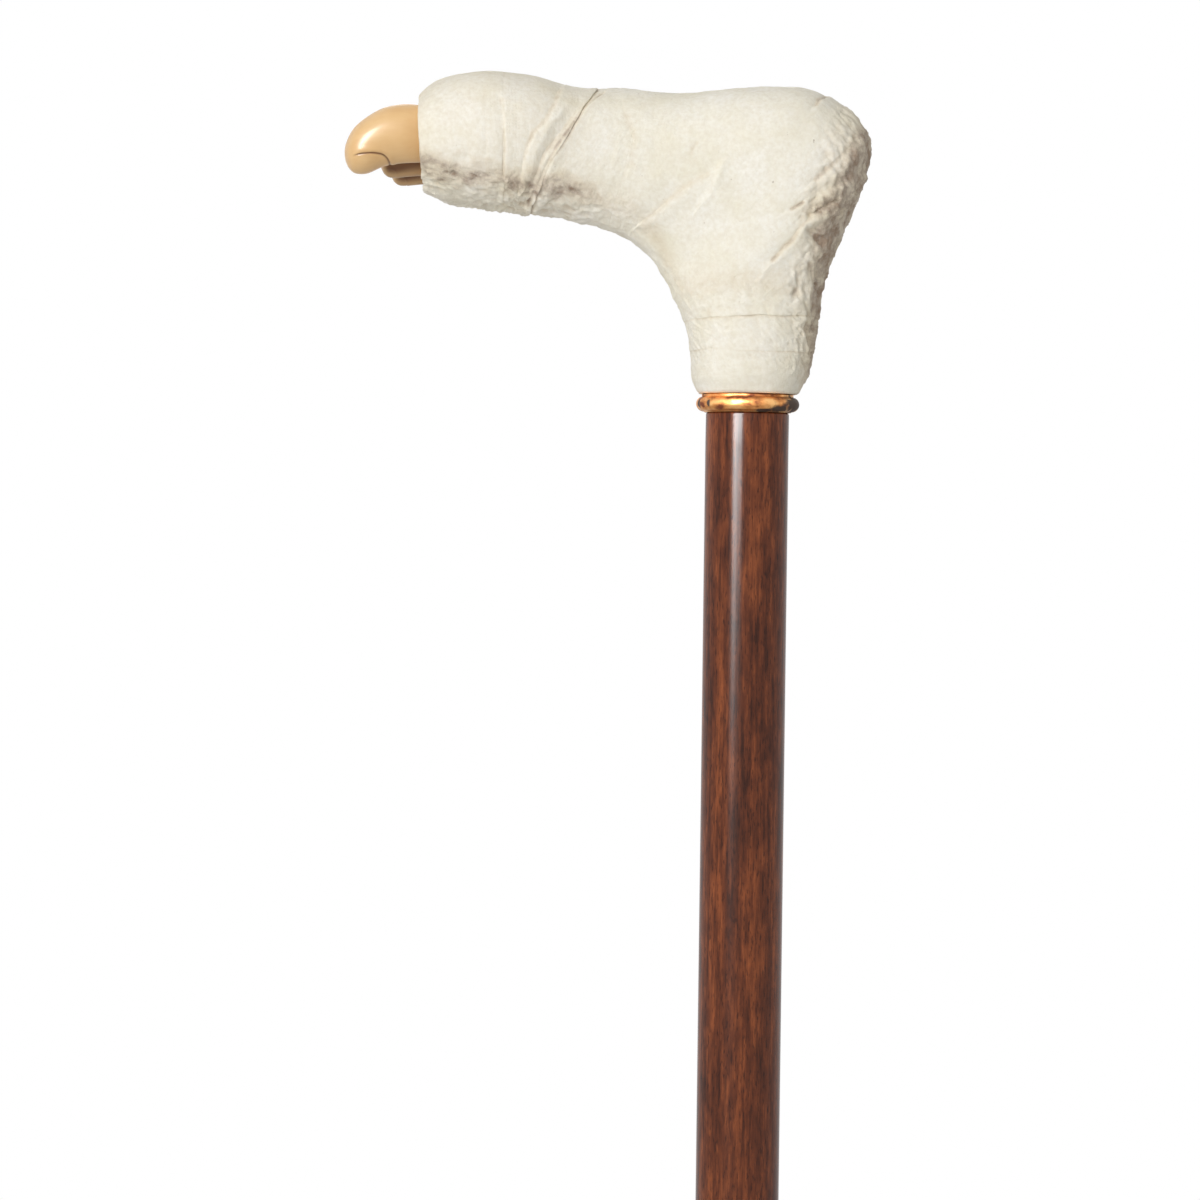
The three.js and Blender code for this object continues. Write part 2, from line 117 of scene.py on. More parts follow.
LAST = len(STATIONS) - 1
INSTEP_ROWS = 13  # how many of them follow the instep, before the ankle
SQUARENESS = 2.3

# Each seam of the winding: its station at the sole or heel, its station at the instep, and how plainly it
# shows.
SEAMS = np.array([
    [16.00, 16.00, 0.30],
    [13.86, 13.70, 0.20],
    [12.80, 12.50, 0.30],
    [10.40, 11.60, 0.03],
    [8.40, 9.40, 0.03],
    [6.80, 6.60, 0.03],
    [5.30, 5.20, 0.05],
    [4.47, 3.14, 0.68],
    [2.52, 2.57, 0.20],
    [0.00, 0.00, 1.00],
])
TURNS = len(SEAMS) - 1
ROLLS = {
    "ankle_bandage": (-0.47, 2.7),
    "heel_bandage": (2.64, 5.7),
    "forefoot_bandage": (5.64, TURNS - 0.04),
}
LAP_WIDTH = 3.2  # how far each turn covers the one before it
TURN_GAP = 0.06  # between turns where they don't lap

# The cast's layers, as depths under its nominal surface
TURN_UNDERSIDE = -2.2
COLLAR_EDGE = -4.4  # the last turn's end, which rounds down to the collar
TUCKED_SINK = 1.3  # how much deeper a turn lies where the next one covers it
LINING_TOP = -2.3
LINING_UNDERSIDE = -3.1
WOOD_DEPTH = -3.3
RIM_SHARE = 0.6  # the layers' share of their depths at the toe opening, where the wall is thin

# The rows of a turn's section: shares of the part tucked under the next turn, parts of the rise from it,
# parts of the quarter circle round the free edge, and shares of the way back underneath. Between the rise
# and the edge is the open band, whose rows are a property.
TUCKED_ROWS = (0, 0.17, 0.34, 0.5, 0.66, 0.82, 0.94)
RISE_ROWS = (0.0, 0.25, 0.5, 0.75)
EDGE_ROWS = (0.15, 0.3, 0.45, 0.6, 0.75, 0.9, 1.0)
UNDER_ROWS = (0, 0.33, 0.67, 1)

# How many points the other fine meshes have, as rows and points round each
BIG_TOE_GRID = (190, 220)
SMALL_TOE_GRID = (100, 120)
FOOT_GRID = (80, 96)
PAD_ROWS = 24
LINING_GRID = (150, 140)

# Where the bandage is rough, and where it is painted darker with shade and some soiling, down the back of
# the heel: a height, and the x from which it is.
ROUGH_LINE = [(5, 9.5), (16, 7.5), (36, 6.0), (48, 8.5), (62, 12.0), (78, 19.0)]
SOIL_AND_SHADE_LINE = [(5, 11.5), (12, 12.0), (30, 13.0), (50, 14.5), (55, 18.0), (62, 21.5), (78, 27.0)]

# Folds and creases on the big toe's side of the cast, as x and height along each, then the depth (less
# than nothing for a ridge), the width, and how much the side to the left of the line's run stands over
# the other.
CREASES = [
    ([(-37.6, 79.0), (-41.5, 74.6), (-44.6, 70.4), (-48.6, 64.6), (-52.0, 57.2), (-55.2, 51.0)],
     0.75, 0.55, 0.35),
    ([(-40.4, 77.4), (-43.8, 73.2), (-47.0, 68.6), (-50.6, 62.4)], 0.35, 0.5, 0.2),
    ([(-47.7, 79.0), (-51.1, 71.1), (-54.5, 68.0), (-56.0, 64.0), (-56.8, 59.5), (-57.6, 54.5)],
     0.4, 0.6, 0.25),
    ([(-49.0, 66.0), (-51.5, 62.6), (-53.2, 58.0), (-55.0, 53.4)], 0.45, 0.5, 0.2),
    ([(-45.8, 75.4), (-50.2, 69.6), (-53.2, 64.0), (-54.6, 58.6)], -0.35, 0.9, 0.0),
    ([(-61.9, 76.0), (-61.1, 64.0), (-61.4, 59.0), (-63.0, 52.0)], 0.3, 0.4, 0.15),
    ([(-66.5, 80.0), (-65.6, 71.0), (-66.4, 62.0)], 0.16, 0.8, 0.0),
    ([(-71.0, 66.0), (-69.6, 60.0), (-70.8, 54.6)], 0.2, 0.7, 0.1),
    ([(-7.4, 61.6), (-8.4, 58.6), (-10.6, 53.5), (-12.8, 50.8)], -0.4, 0.8, 0.2),
    ([(-11.6, 58.2), (-17.6, 54.5), (-21.1, 51.5), (-24.5, 48.4), (-27.0, 46.4)], 0.35, 0.9, 0.3),
    ([(-31.0, 73.0), (-29.4, 67.0), (-30.4, 61.0)], 0.18, 1.0, 0.1),
    ([(-33.2, 66.6), (-33.8, 60.4)], -0.2, 0.7, 0.0),
    ([(-14.0, 66.6), (-15.6, 63.4)], 0.2, 0.6, 0.0),
    ([(21.0, 80.4), (18.3, 79.3), (16.6, 78.2), (15.4, 76.2)], 0.7, 0.5, 0.35),
    ([(26.6, 68.0), (20.6, 62.4), (15.6, 57.6)], 0.4, 0.8, 0.25),
    ([(29.0, 60.0), (23.0, 56.4), (17.8, 53.4)], -0.55, 0.9, 0.3),
    ([(12.4, 51.7), (9.8, 50.0)], 0.8, 0.5, 0.2),
    ([(21.0, 53.0), (16.4, 49.3), (12.5, 45.4), (10.1, 41.9), (7.6, 39.4), (5.6, 37.2)],
     0.85, 0.52, 0.35),
    ([(5.0, 36.2), (1.9, 32.3)], -0.25, 0.7, 0.0),
    ([(21.0, 46.0), (15.4, 41.0), (11.4, 35.4)], 0.35, 0.8, 0.2),
    ([(19.0, 37.0), (14.0, 31.0)], 0.3, 0.8, 0.15),
]

# Toes along X, from base to tip: x, the heights of the top and the bottom, and half the width.
BIG_TOE = np.array([
    [-76.0, 73.4, 61.4, 5.2],
    [-82.4, 75.0, 60.8, 5.8],
    [-87.0, 75.2, 60.5, 6.9],
    [-91.4, 74.3, 59.6, 7.4],
    [-95.4, 72.1, 57.9, 7.5],
    [-98.2, 69.8, 57.8, 6.8],
    [-99.8, 67.6, 58.8, 5.2],
    [-100.8, 65.2, 60.6, 3.0],
    [-101.1, 63.7, 62.1, 0.9],
])
BIG_TOE_Y = -10.2

# The big toe's nail: the height of its rim's level, x at its back and its tip, and its rim's size.
BIG_TOE_NAIL = (62.5, -89.8, -98.6, 1.0)

# The smaller toes: x at the tip, how far towards the little toe, the middle's height, and the thickness.
SMALL_TOES = [
    (-92.6, 0.2, 61.9, 8.6),
    (-90.2, 6.8, 60.1, 8.0),
    (-87.8, 12.3, 61.2, 7.2),
    (-85.9, 15.8, 63.6, 6.2),
]

# Sections of a smaller toe: how far back from its tip, and its thickness and width there as shares of the
# thickest.
SMALL_TOE_SHAPE = np.array([
    [14.0, 0.80, 0.70],
    [8.0, 0.90, 0.84],
    [4.6, 0.97, 0.95],
    [2.4, 0.90, 0.90],
    [1.0, 0.66, 0.70],
    [0.2, 0.30, 0.34],
])

# Black patches on the collar's bead, painted dark reflections on the big toe's side and tarnishing on the
# far side: the angle about Z from the heel's side, the height over the bead's middle, and how long and how
# tall each is.
REFLECTION_AND_TARNISH = [
    (-20, -0.1, 6.4, 2.4),
    (-50, -1.4, 3.6, 0.9),
    (-70, -1.8, 2.6, 0.5),
    (-141, 0.1, 0.6, 1.0),
    (-163, 0.0, 1.1, 1.4),
    (40, 0.4, 2.0, 1.0),
    (118, -0.9, 2.6, 0.8),
]

# The picture's middle: x, and the height from the shoulder
PICTURE_X = -36.25
PICTURE_Z = -47.24

# Each lamp's place, the point that it faces, and its width and height, in metres
HANDLE = (-0.035, 0.0, (SHOULDER + 45) / 1000)
LAMPS = {
    "key": ((-0.54, -0.86, 1.15), (0, 0, 1.1), (0.2, 0.8)),
    "strip": ((-0.485, -0.924, 1.24), (0, 0, 1.24), (0.46, 0.8)),
    "fill": ((-0.1, -1.3, 1.35), HANDLE, (1.0, 0.8)),
    "rear": ((0.25, 1.3, 1.35), HANDLE, (1.0, 0.8)),
}


# Numbers

def mix(a, b, share):
    """The value that lies that share of the way from a to b."""
    return a + (b - a) * share


def smooth(value, start, end):
    """Rises from 0 at start to 1 at end, level at both: three times the square less twice the cube."""
    share = np.clip((value - start) / (end - start), 0, 1)
    return share * share * (3 - 2 * share)


def spline(table, s):
    """A smooth line through the table's rows at stations s: on each stretch a cubic, whose slope at each
    end is half the difference between the rows on either side."""
    rows = np.vstack([2 * table[0] - table[1], table, 2 * table[-1] - table[-2]])
    i = np.clip(np.floor(s).astype(int), 0, len(table) - 2)
    w = (s - i)[..., None]
    a, b, c, d = rows[i], rows[i + 1], rows[i + 2], rows[i + 3]
    bend = (c - a) / 2 * (w**3 - 2 * w**2 + w) + (d - b) / 2 * (w**3 - w**2)
    return b * (2 * w**3 - 3 * w**2 + 1) + c * (3 * w**2 - 2 * w**3) + bend


def corner_value(x, y, z, seed):
    """A repeatable random number from -1 to 1 for each whole-number corner of space."""
    h = (x * 374761393 + y * 668265263 + z * 2246822519 + seed * 3266489917) & 0xFFFFFFFF
    h = ((h ^ (h >> 13)) * 1274126177) & 0xFFFFFFFF
    h = ((h ^ (h >> 16)) * 2654435761) & 0xFFFFFFFF
    return (h ^ (h >> 15)) / 0x7FFFFFFF - 1


def noise(points, size, seed):
    """Soft lumps about size across, from -1 to 1: random values at the corners of cubes, blended across
    each cube. Each seed gives other lumps."""
    p = points / size + 1000
    cell = np.floor(p).astype(np.int64)
    w = p - cell
    w = w**3 * (w * (w * 6 - 15) + 10)
    x, y, z = cell[..., 0], cell[..., 1], cell[..., 2]
    total = 0
    for i in (0, 1):
        for j in (0, 1):
            for k in (0, 1):
                share = np.abs(1 - i - w[..., 0]) * np.abs(1 - j - w[..., 1]) * np.abs(1 - k - w[..., 2])
                total = total + share * corner_value(x + i, y + j, z + k, seed)
    return total


# A turn of space, so that the lumps of one size don't line up with those of the next
TURN_NOISE = np.array([[0.80, 0.60, 0.00], [-0.48, 0.64, 0.60], [0.36, -0.48, 0.80]])


def rough(points, size, seed, octaves=3, falloff=0.5):
    """Lumps of several sizes at once, each half the size of the one before and turned against it."""
    total, height = 0, 1.0
    for octave in range(octaves):
        total = total + height * noise(points, size, seed + octave)
        points, size, height = points @ TURN_NOISE, size / 2, height * falloff
    return total


def ridged(points, size, seed, octaves=2):
    """Wrinkles: narrow rounded ridges where soft lumps change sign, from about -1 to 1."""
    total, height = 0, 1.0
    for octave in range(octaves):
        total = total + height * (1.15 - 2.6 * np.hypot(noise(points, size, seed + octave), 0.11))
        points, size, height = points @ TURN_NOISE, size / 2, height * 0.5
    return total / 1.5


# The cast

def cast_nominal(s, a):
    """The cast's nominal surface. Station s picks a section, whose outline at angle a is a squared
    ellipse between the sole's point at 0 and the instep's at half a turn, passing the big toe's side, and
    fuller towards the sole."""
    row = spline(STATIONS, s)
    c, n = np.cos(a), np.sin(a)
    reach = (np.abs(c) ** SQUARENESS + np.abs(n) ** SQUARENESS) ** (-1 / SQUARENESS)
    up = reach * c
    across = reach * n * row[..., 4] * (1 + row[..., 6] * up)
    share = (1 + up) / 2
    x = mix(row[..., 2], row[..., 0], share)
    z = mix(row[..., 3], row[..., 1], share) + SHOULDER
    return np.stack([x, row[..., 5] - across, z], axis=-1)


def cast_along(s, a, step=0.01):
    """How the surface moves for one station, by the difference between two points close together."""
    s0, s1 = np.clip(s - step, 0, LAST - 2 * step), np.clip(s + step, 2 * step, LAST)
    return (cast_nominal(s1, a) - cast_nominal(s0, a)) / (s1 - s0)[..., None]


def cast_outward(s, a, step=0.01):
    """The surface's outward normal: the way round it crossed with the way along it."""
    out = np.cross(cast_nominal(s, a + step) - cast_nominal(s, a - step), cast_along(s, a))
    return out / np.linalg.norm(out, axis=-1, keepdims=True)


def speed(s, a):
    """Millimetres per station."""
    return np.linalg.norm(cast_along(s, a), axis=-1)


def thinned(s):
    """The layers' share of their depths at station s."""
    return mix(RIM_SHARE, 1, smooth(s, 0, 1.2))


def station_grid(stations, around):
    """A grid of stations, with angles round the cast."""
    angles = np.linspace(0, 2 * np.pi, around, endpoint=False)
    return np.meshgrid(stations, angles, indexing="ij")


def line_distance(x, z, line):
    """The distance from each point to a line of short straight stretches, and the side it lies on, from
    -1 to 1."""
    best = np.full(x.shape, np.inf)
    side = np.zeros(x.shape)
    for (x0, z0), (x1, z1) in zip(line[:-1], line[1:]):
        dx, dz = x1 - x0, z1 - z0
        share = np.clip(((x - x0) * dx + (z - z0) * dz) / (dx * dx + dz * dz), 0, 1)
        ox, oz = x - x0 - share * dx, z - z0 - share * dz
        gap = np.hypot(ox, oz)
        closer = gap < best
        side = np.where(closer, np.sign(dx * oz - dz * ox), side)
        best = np.where(closer, gap, best)
    return best, side


def crumpled(p, wander):
    """How crumpled the bandage is, and how dark it is painted, from 0 to 1. It is crumpled down the back of
    the heel and ankle, and under the forefoot and instep. It is painted with shade and some soiling down the
    back of the heel, most on the big toe's side, and with shade under the forefoot and instep, and it is a
    little darker all over the forefoot. Each starts at a line, as x at a row of heights, or at a distance
    over the instep's line."""
    x, z = p[..., 0], p[..., 2] - SHOULDER
    rough_from = np.interp(z, *zip(*ROUGH_LINE)) + 1.5 * wander[..., 1]
    soil_and_shade_from = np.interp(z, *zip(*SOIL_AND_SHADE_LINE)) + wander[..., 0]
    heel = smooth(x, rough_from, rough_from + 7) * smooth(z, 4, 11)
    back = smooth(x, soil_and_shade_from, soil_and_shade_from + 4) * mix(1, 0.35, smooth(p[..., 1], -3, 6))
    soil_and_shade = 0.18 * heel + 0.74 * back
    instep = STATIONS[:INSTEP_ROWS, 2:4]
    instep = instep[np.argsort(instep[:, 0])]
    over = z - np.interp(x, instep[:, 0], instep[:, 1])
    over = over + 0.8 * wander[..., 0] + 1.3 * noise(p, 2.2, seed=14)
    fore = smooth(-x, 34, 46)
    under = smooth(-over, -11, -4) * mix(0.3, 1, fore) * smooth(z, 6, 14)
    below = mix(0.24, 0.78, fore) * smooth(-over, -13, -5.5)
    soil_and_shade = np.maximum(soil_and_shade, below * mix(1, 0.12, smooth(-over, -6, -2.5)))
    return np.maximum(heel, under), np.maximum(soil_and_shade, 0.1 * fore)


def cast_relief(p):
    """How far the plaster stands off the nominal surface at points p, and how dark it is painted there, from
    0 to 1. It is soft lumps all over, creases along their lines on the big toe's side, the same creases
    softly repeated on the far side, and crumpled bandage at the heel and under the forefoot. Painted shade
    darkens the creases' cores and the crumpled bandage's valleys, and painted shade with some soiling
    darkens the cast's back and underside."""
    x, y, z = p[..., 0], p[..., 1], p[..., 2] - SHOULDER
    wander = np.stack([noise(p, 7, seed=11), noise(p, 7, seed=12), noise(p, 7, seed=13)], axis=-1)
    relief = 0.26 * noise(p, 17, seed=21) + 0.13 * rough(p, 6.5, seed=31, octaves=2)
    relief = relief + 0.09 * rough(p + wander, 3.0, seed=41, octaves=2)
    hollow = np.zeros(x.shape)
    wx, wz = x + 0.5 * wander[..., 0], z + 0.5 * wander[..., 2]
    near = smooth(-y, -1.0, 4.0)
    far = 0.7 * smooth(y, 2.0, 7.0)
    # On the far side the creases are softer, and a little shifted
    for line, depth, width, step in CREASES:
        for share, shift_x, shift_z in ((near, 0.0, 0.0), (far, 3.0, -2.0)):
            gap, side = line_distance(wx + shift_x, wz + shift_z, line)
            core = np.exp(-((gap / width) ** 2)) * (0.75 + 0.5 * wander[..., 2])
            relief = relief - share * depth * core
            relief = relief + share * step * side * np.exp(-((gap / (4 * width)) ** 2)) * (1 - core)
            # Deep creases are painted darker along their cores: painted shade.
            if depth > 0:
                hollow = np.maximum(hollow, share * core * min(1.0, 1.3 * depth))
    crumple, soil_and_shade = crumpled(p, wander)
    # The wrinkles run aslant, and the smallest of them are tallest low down
    q = np.stack([x + 0.75 * z, y, 0.55 * z - 0.35 * x], axis=-1) + 1.2 * wander
    wrinkles = 0.48 * ridged(q, 4.4, seed=51) + 0.44 * ridged(q + wander, 2.3, seed=61)
    wrinkles = wrinkles + mix(0.16, 0.3, smooth(-z, -44, -24)) * ridged(q, 1.25, seed=71, octaves=1)
    # The deepest parts flatten out, so that none cuts through the band
    wrinkles = np.where(wrinkles < -0.5, -0.5 + 0.4 * np.tanh((wrinkles + 0.5) / 0.4), wrinkles)
    relief = relief + crumple * (wrinkles - 0.12)
    # The crumpled bandage is painted darker in its wrinkles' valleys: painted shade.
    soil_and_shade = soil_and_shade + mix(0.34, 0.2, smooth(x, 12, 20)) * crumple * smooth(-wrinkles, -0.1, 0.4)
    return relief, np.maximum(hollow, np.clip(soil_and_shade, 0, 1))


def seam_at(turn, angle):
    """The station and strength of a seam: its station swings between the sole's and the instep's with the
    cosine."""
    row = SEAMS[turn]
    return (row[..., 0] + row[..., 1]) / 2 + (row[..., 0] - row[..., 1]) / 2 * np.cos(angle), row[..., 2]


def edge_at(turn):
    """The station and strength of the bandage's free edge. It keeps to one seam over the big toe's side,
    and crosses smoothly to the next seam on the far side. Smears of plaster make it come and go."""
    inside = np.clip(turn, 0, TURNS - 1e-9)
    whole = np.floor(inside).astype(int)
    part = inside - whole
    share = smooth(part, 0.5, 1.0)
    here, shows = seam_at(whole, 2 * np.pi * part)
    there, shows_next = seam_at(np.minimum(whole + 1, TURNS), 2 * np.pi * part)
    station = mix(here, there, share)
    angle = 2 * np.pi * turn
    edge = cast_nominal(station, angle)
    wave = 0.45 * noise(edge, 9, seed=91) + 0.15 * noise(edge, 3, seed=92)
    calm = smooth(turn, 0.5, 0.8) * np.where(turn >= TURNS, 0.8, 1.0)
    smears = np.clip(0.8 + 0.7 * noise(edge, 7, seed=93), 0.2, 1.0)
    return station + calm * wave / speed(station, angle), mix(shows, shows_next, share) * smears


def lap_at(turn, shown):
    """How a turn meets the one before it: first its edge lifts clear, from 0 to 1, and then it reaches
    over."""
    lap = smooth(turn, 0.56, 0.76) * np.minimum(LAP_WIDTH + TURN_GAP + 1, 0.5 * shown) * (turn < TURNS)
    return np.minimum(lap, 1), np.maximum(lap - 1, 0) - TURN_GAP * (turn < TURNS)


def groove_before(shows):
    """How deep the turn before lies beside a free edge."""
    return -0.02 - 0.3 * shows


class Winding:
    """The band at each place in the winding: the stations of its free and its tucked edge, how plainly
    each shows, how many stations a millimetre is there, how many millimetres of the band show, and how it
    meets the turns on either side."""

    def __init__(self, turn):
        self.turn, self.angle = turn, 2 * np.pi * turn
        self.free, self.shows = edge_at(turn)
        self.tucked, self.shows_next = edge_at(turn + 1)
        self.per_free = 1 / speed(self.free, self.angle)
        self.per_tucked = 1 / speed(self.tucked, self.angle)
        after = edge_at(turn + 2)[0]
        edges = [cast_nominal(station, self.angle) for station in (self.free, self.tucked, after)]
        self.shown = np.linalg.norm(edges[0] - edges[1], axis=-1)
        self.rise = lap_at(turn, self.shown)[0]
        self.rise_next, self.reach_next = lap_at(turn + 1, np.linalg.norm(edges[1] - edges[2], axis=-1))

    def section(self, across):
        """The band's section at each place, as stations and as lifts off the nominal surface. It goes
        over the band from its tucked edge to its free edge, round the edge, and back underneath. The free
        edge stands over the turn before it by a step, which is tall where the seam shows plainly and next
        to nothing where it is plastered over."""
        crown = mix(0.0, 0.36 * self.shows - 0.06 * (1 - self.shows) ** 4, self.rise)
        groove = groove_before(self.shows_next) * self.rise_next
        start = self.tucked - self.reach_next * self.per_tucked
        covered = np.maximum(self.reach_next, 0)
        foot = 0.04 + 0.08 * self.shows_next + np.maximum(0, -self.reach_next)
        foot = np.minimum(foot, 0.3 * self.shown)
        rising = np.minimum(mix(0.6, 1.3, self.shows_next), 0.2 * self.shown)
        foot_at = self.tucked + foot * self.per_tucked
        slope_at = self.tucked + (foot + rising) * self.per_tucked
        toe_end = 1 - smooth(self.tucked, 0.05, 0.3)
        collar_end = smooth(self.free, LAST - 0.6, LAST - 0.1)
        size = np.minimum(0.05 + 0.35 * self.shows, 0.08 * self.shown)
        size = mix(size, np.minimum(0.8, 0.3 * self.shown), collar_end)

        stations, lifts = [], []
        for share in TUCKED_ROWS:
            sunk = self.rise_next * smooth((1 - share) * (covered + foot), 0.0, 1.0)
            stations.append(mix(start, foot_at, share))
            lifts.append(groove - TUCKED_SINK * sunk - toe_end * mix(1.1, 0.75, share))
        for part in RISE_ROWS:
            corner = part * np.pi / 2
            stations.append(mix(foot_at, slope_at, mix(part, 1 - np.cos(corner), toe_end)))
            lifts.append(mix(groove * (1 - smooth(part, 0, 1)), -0.75 * (1 - np.sin(corner)), toe_end))
        for share in np.linspace(0, 1, across):
            stations.append(mix(slope_at, self.free - size * self.per_free, share))
            lifts.append(crown * smooth((1 - share) * self.shown, 2.4, 0.0))
        for part in EDGE_ROWS:
            corner = part * np.pi / 2
            stations.append(self.free - size * (1 - np.sin(corner)) * self.per_free)
            lifts.append(crown - size * (1 - np.cos(corner)))
        foot_of_edge = mix(TURN_UNDERSIDE, COLLAR_EDGE, collar_end)
        foot_of_edge = mix(foot_of_edge, groove_before(self.shows) - 0.12, self.rise)
        for inward in (0, np.minimum(0.25, 0.15 * self.shown)):
            stations.append(self.free - inward * self.per_free)
            lifts.append(foot_of_edge)
        down = self.free - np.minimum(0.9, 0.4 * self.shown) * self.per_free
        for share in UNDER_ROWS:
            stations.append(mix(down, start, share))
            lifts.append(np.full(self.turn.shape, TURN_UNDERSIDE))
        return np.stack(stations, axis=1), np.stack(lifts, axis=1)


def bandage_grid(first, last, per_turn, across):
    """One roll of bandage as rows of points, one row for each place in the winding. A roll's start rises
    a little, and its end dips under the next roll. Returns the points, the band's own coordinates in
    millimetres, and how dark each point is painted with shade and soiling."""
    at = Winding(np.linspace(first, last, int((last - first) * per_turn) + 1))
    s, lift = at.section(across)
    a = np.repeat(at.angle[:, None], s.shape[1], axis=1)
    end_dip = smooth(at.turn, last - 0.06, last - 0.045) * (last < TURNS - 1)
    start_lift = (1 - smooth(at.turn, first, first + 0.02)) * (first > 0)
    lift = lift - 0.7 * end_dip[:, None] + 0.06 * start_lift[:, None]
    lift = np.where(lift < 0, lift * thinned(s), lift)
    to_collar = smooth(s, LAST - 0.8, LAST)
    nominal = cast_nominal(s, a)
    nominal[..., 2] -= 0.3 * to_collar
    out = cast_outward(s, a)
    out[..., 2] *= 1 - to_collar

    step = np.linalg.norm(np.diff(nominal[:, across // 2], axis=0), axis=-1)
    run = np.repeat(np.concatenate([[0], np.cumsum(step)])[:, None], s.shape[1], axis=1)
    width = np.cumsum(np.linalg.norm(np.diff(nominal, axis=1, prepend=nominal[:, :1]), axis=-1), axis=1)
    relief, hollow = cast_relief(nominal)
    relief[:, -len(UNDER_ROWS):] *= 0.3
    points = nominal + out * (lift + relief)[..., None]
    # Each turn is painted darker beside the free edge that laps over it: painted shade in the seam's groove.
    beyond = np.maximum(0, (s - at.tucked[:, None]) / at.per_tucked[:, None] - 0.15)
    near_edge = np.exp(-beyond / 0.35) * np.minimum(1, 2 * at.shows_next)[:, None]
    hollow = np.maximum(hollow, 0.9 * near_edge * at.rise_next[:, None])
    return points, np.stack([run, width], axis=-1), hollow


# Meshes

def grid_quads(rows, columns, wrap_rows):
    """Four-sided faces over a grid whose columns close on themselves."""
    i = np.arange(rows if wrap_rows else rows - 1)[:, None]
    j = np.arange(columns)[None, :]
    here, there = i * columns, (i + 1) % rows * columns
    k = (j + 1) % columns
    return np.stack([here + j, here + k, there + k, there + j], axis=-1).reshape(-1, 4)


def enclosed_volume(points, quads):
    """Six times the volume inside the quads, from the triple product of each half's corners."""
    a, b, c, d = (points[quads[:, i]] for i in range(4))
    return np.sum(a * np.cross(b, c)) + np.sum(a * np.cross(c, d))


def surface(name, grid, material, caps="fan", band=None, hollow=None):
    """Makes a mesh object from a grid of points, in millimetres. Each row closes on itself. The first and
    last rows are joined to each other ("wrap"), closed by one face each ("face"), or closed to a point at
    their middle ("fan")."""
    rows, columns = grid.shape[:2]
    points = grid.reshape(-1, 3)
    quads = grid_quads(rows, columns, caps == "wrap")
    middle = points.mean(axis=0)
    flip = enclosed_volume(points - middle, quads) < 0
    first, final = list(range(columns)), list(range((rows - 1) * columns, rows * columns))
    faces = (quads[:, ::-1] if flip else quads).tolist()
    extra = []
    for ring, reverse in ((first, not flip), (final, flip)):
        if caps == "face":
            faces.append(ring[::-1] if reverse else ring)
        if caps == "fan":
            extra.append(points[ring].mean(axis=0))
            tip = len(points) + len(extra) - 1
            pairs = zip(ring, ring[1:] + ring[:1])
            faces += [[tip, b, a] if reverse else [tip, a, b] for a, b in pairs]
    if extra:
        points = np.vstack([points, extra])
    mesh = bpy.data.meshes.new(name)
    mesh.from_pydata(points / 1000, [], faces)
    mesh.shade_smooth()
    spare = len(extra)
    if band is not None:
        flat = np.vstack([band.reshape(-1, 2), np.zeros((spare, 2))])
        corners = np.empty(len(mesh.loops), dtype=np.int32)
        mesh.loops.foreach_get("vertex_index", corners)
        mesh.uv_layers.new(name="band").data.foreach_set("uv", flat[corners].ravel())
    if hollow is not None:
        flat = np.concatenate([hollow.ravel(), np.full(spare, float(hollow.mean()))])
        mesh.attributes.new("hollow", "FLOAT", "POINT").data.foreach_set("value", flat)
    mesh.materials.append(material)
    piece = bpy.data.objects.new(name, mesh)
    bpy.context.scene.collection.objects.link(piece)
    return piece


def turned(profile, around, wobble=None):
    """Rows of points of a profile of [radius, height] turned about Z. A wobble function moves the
    radius."""
    angle = np.linspace(0, 2 * np.pi, around, endpoint=False)[None, :]
    radius, height = profile[:, 0][:, None], profile[:, 1][:, None]
    grid = np.stack([radius * np.cos(angle), radius * np.sin(angle), height + 0 * angle], axis=-1)
    if wobble is not None:
        grid[..., :2] *= (1 + wobble(grid) / np.maximum(radius, 1))[..., None]
    return grid


def arc(radius, height, size, start, end, steps):
    """Points of [radius, height] on a circle's arc between two angles in degrees."""
    angle = np.radians(np.linspace(start, end, steps))
    return [[radius + size * math.cos(t), height + size * math.sin(t)] for t in angle]


def fine(profile, spacing):
    """A profile with its straight stretches cut into steps no longer than spacing."""
    out = [profile[0]]
    for start, end in zip(profile[:-1], profile[1:]):
        count = max(1, math.ceil(math.dist(start, end) / spacing))
        out += [[mix(start[k], end[k], i / count) for k in (0, 1)] for i in range(1, count + 1)]
    return np.array(out, dtype=float)


def place(piece, node):
    """The piece stands for a node of the frame and rides with it."""
    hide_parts(node)
    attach(piece, "root")


# Toes

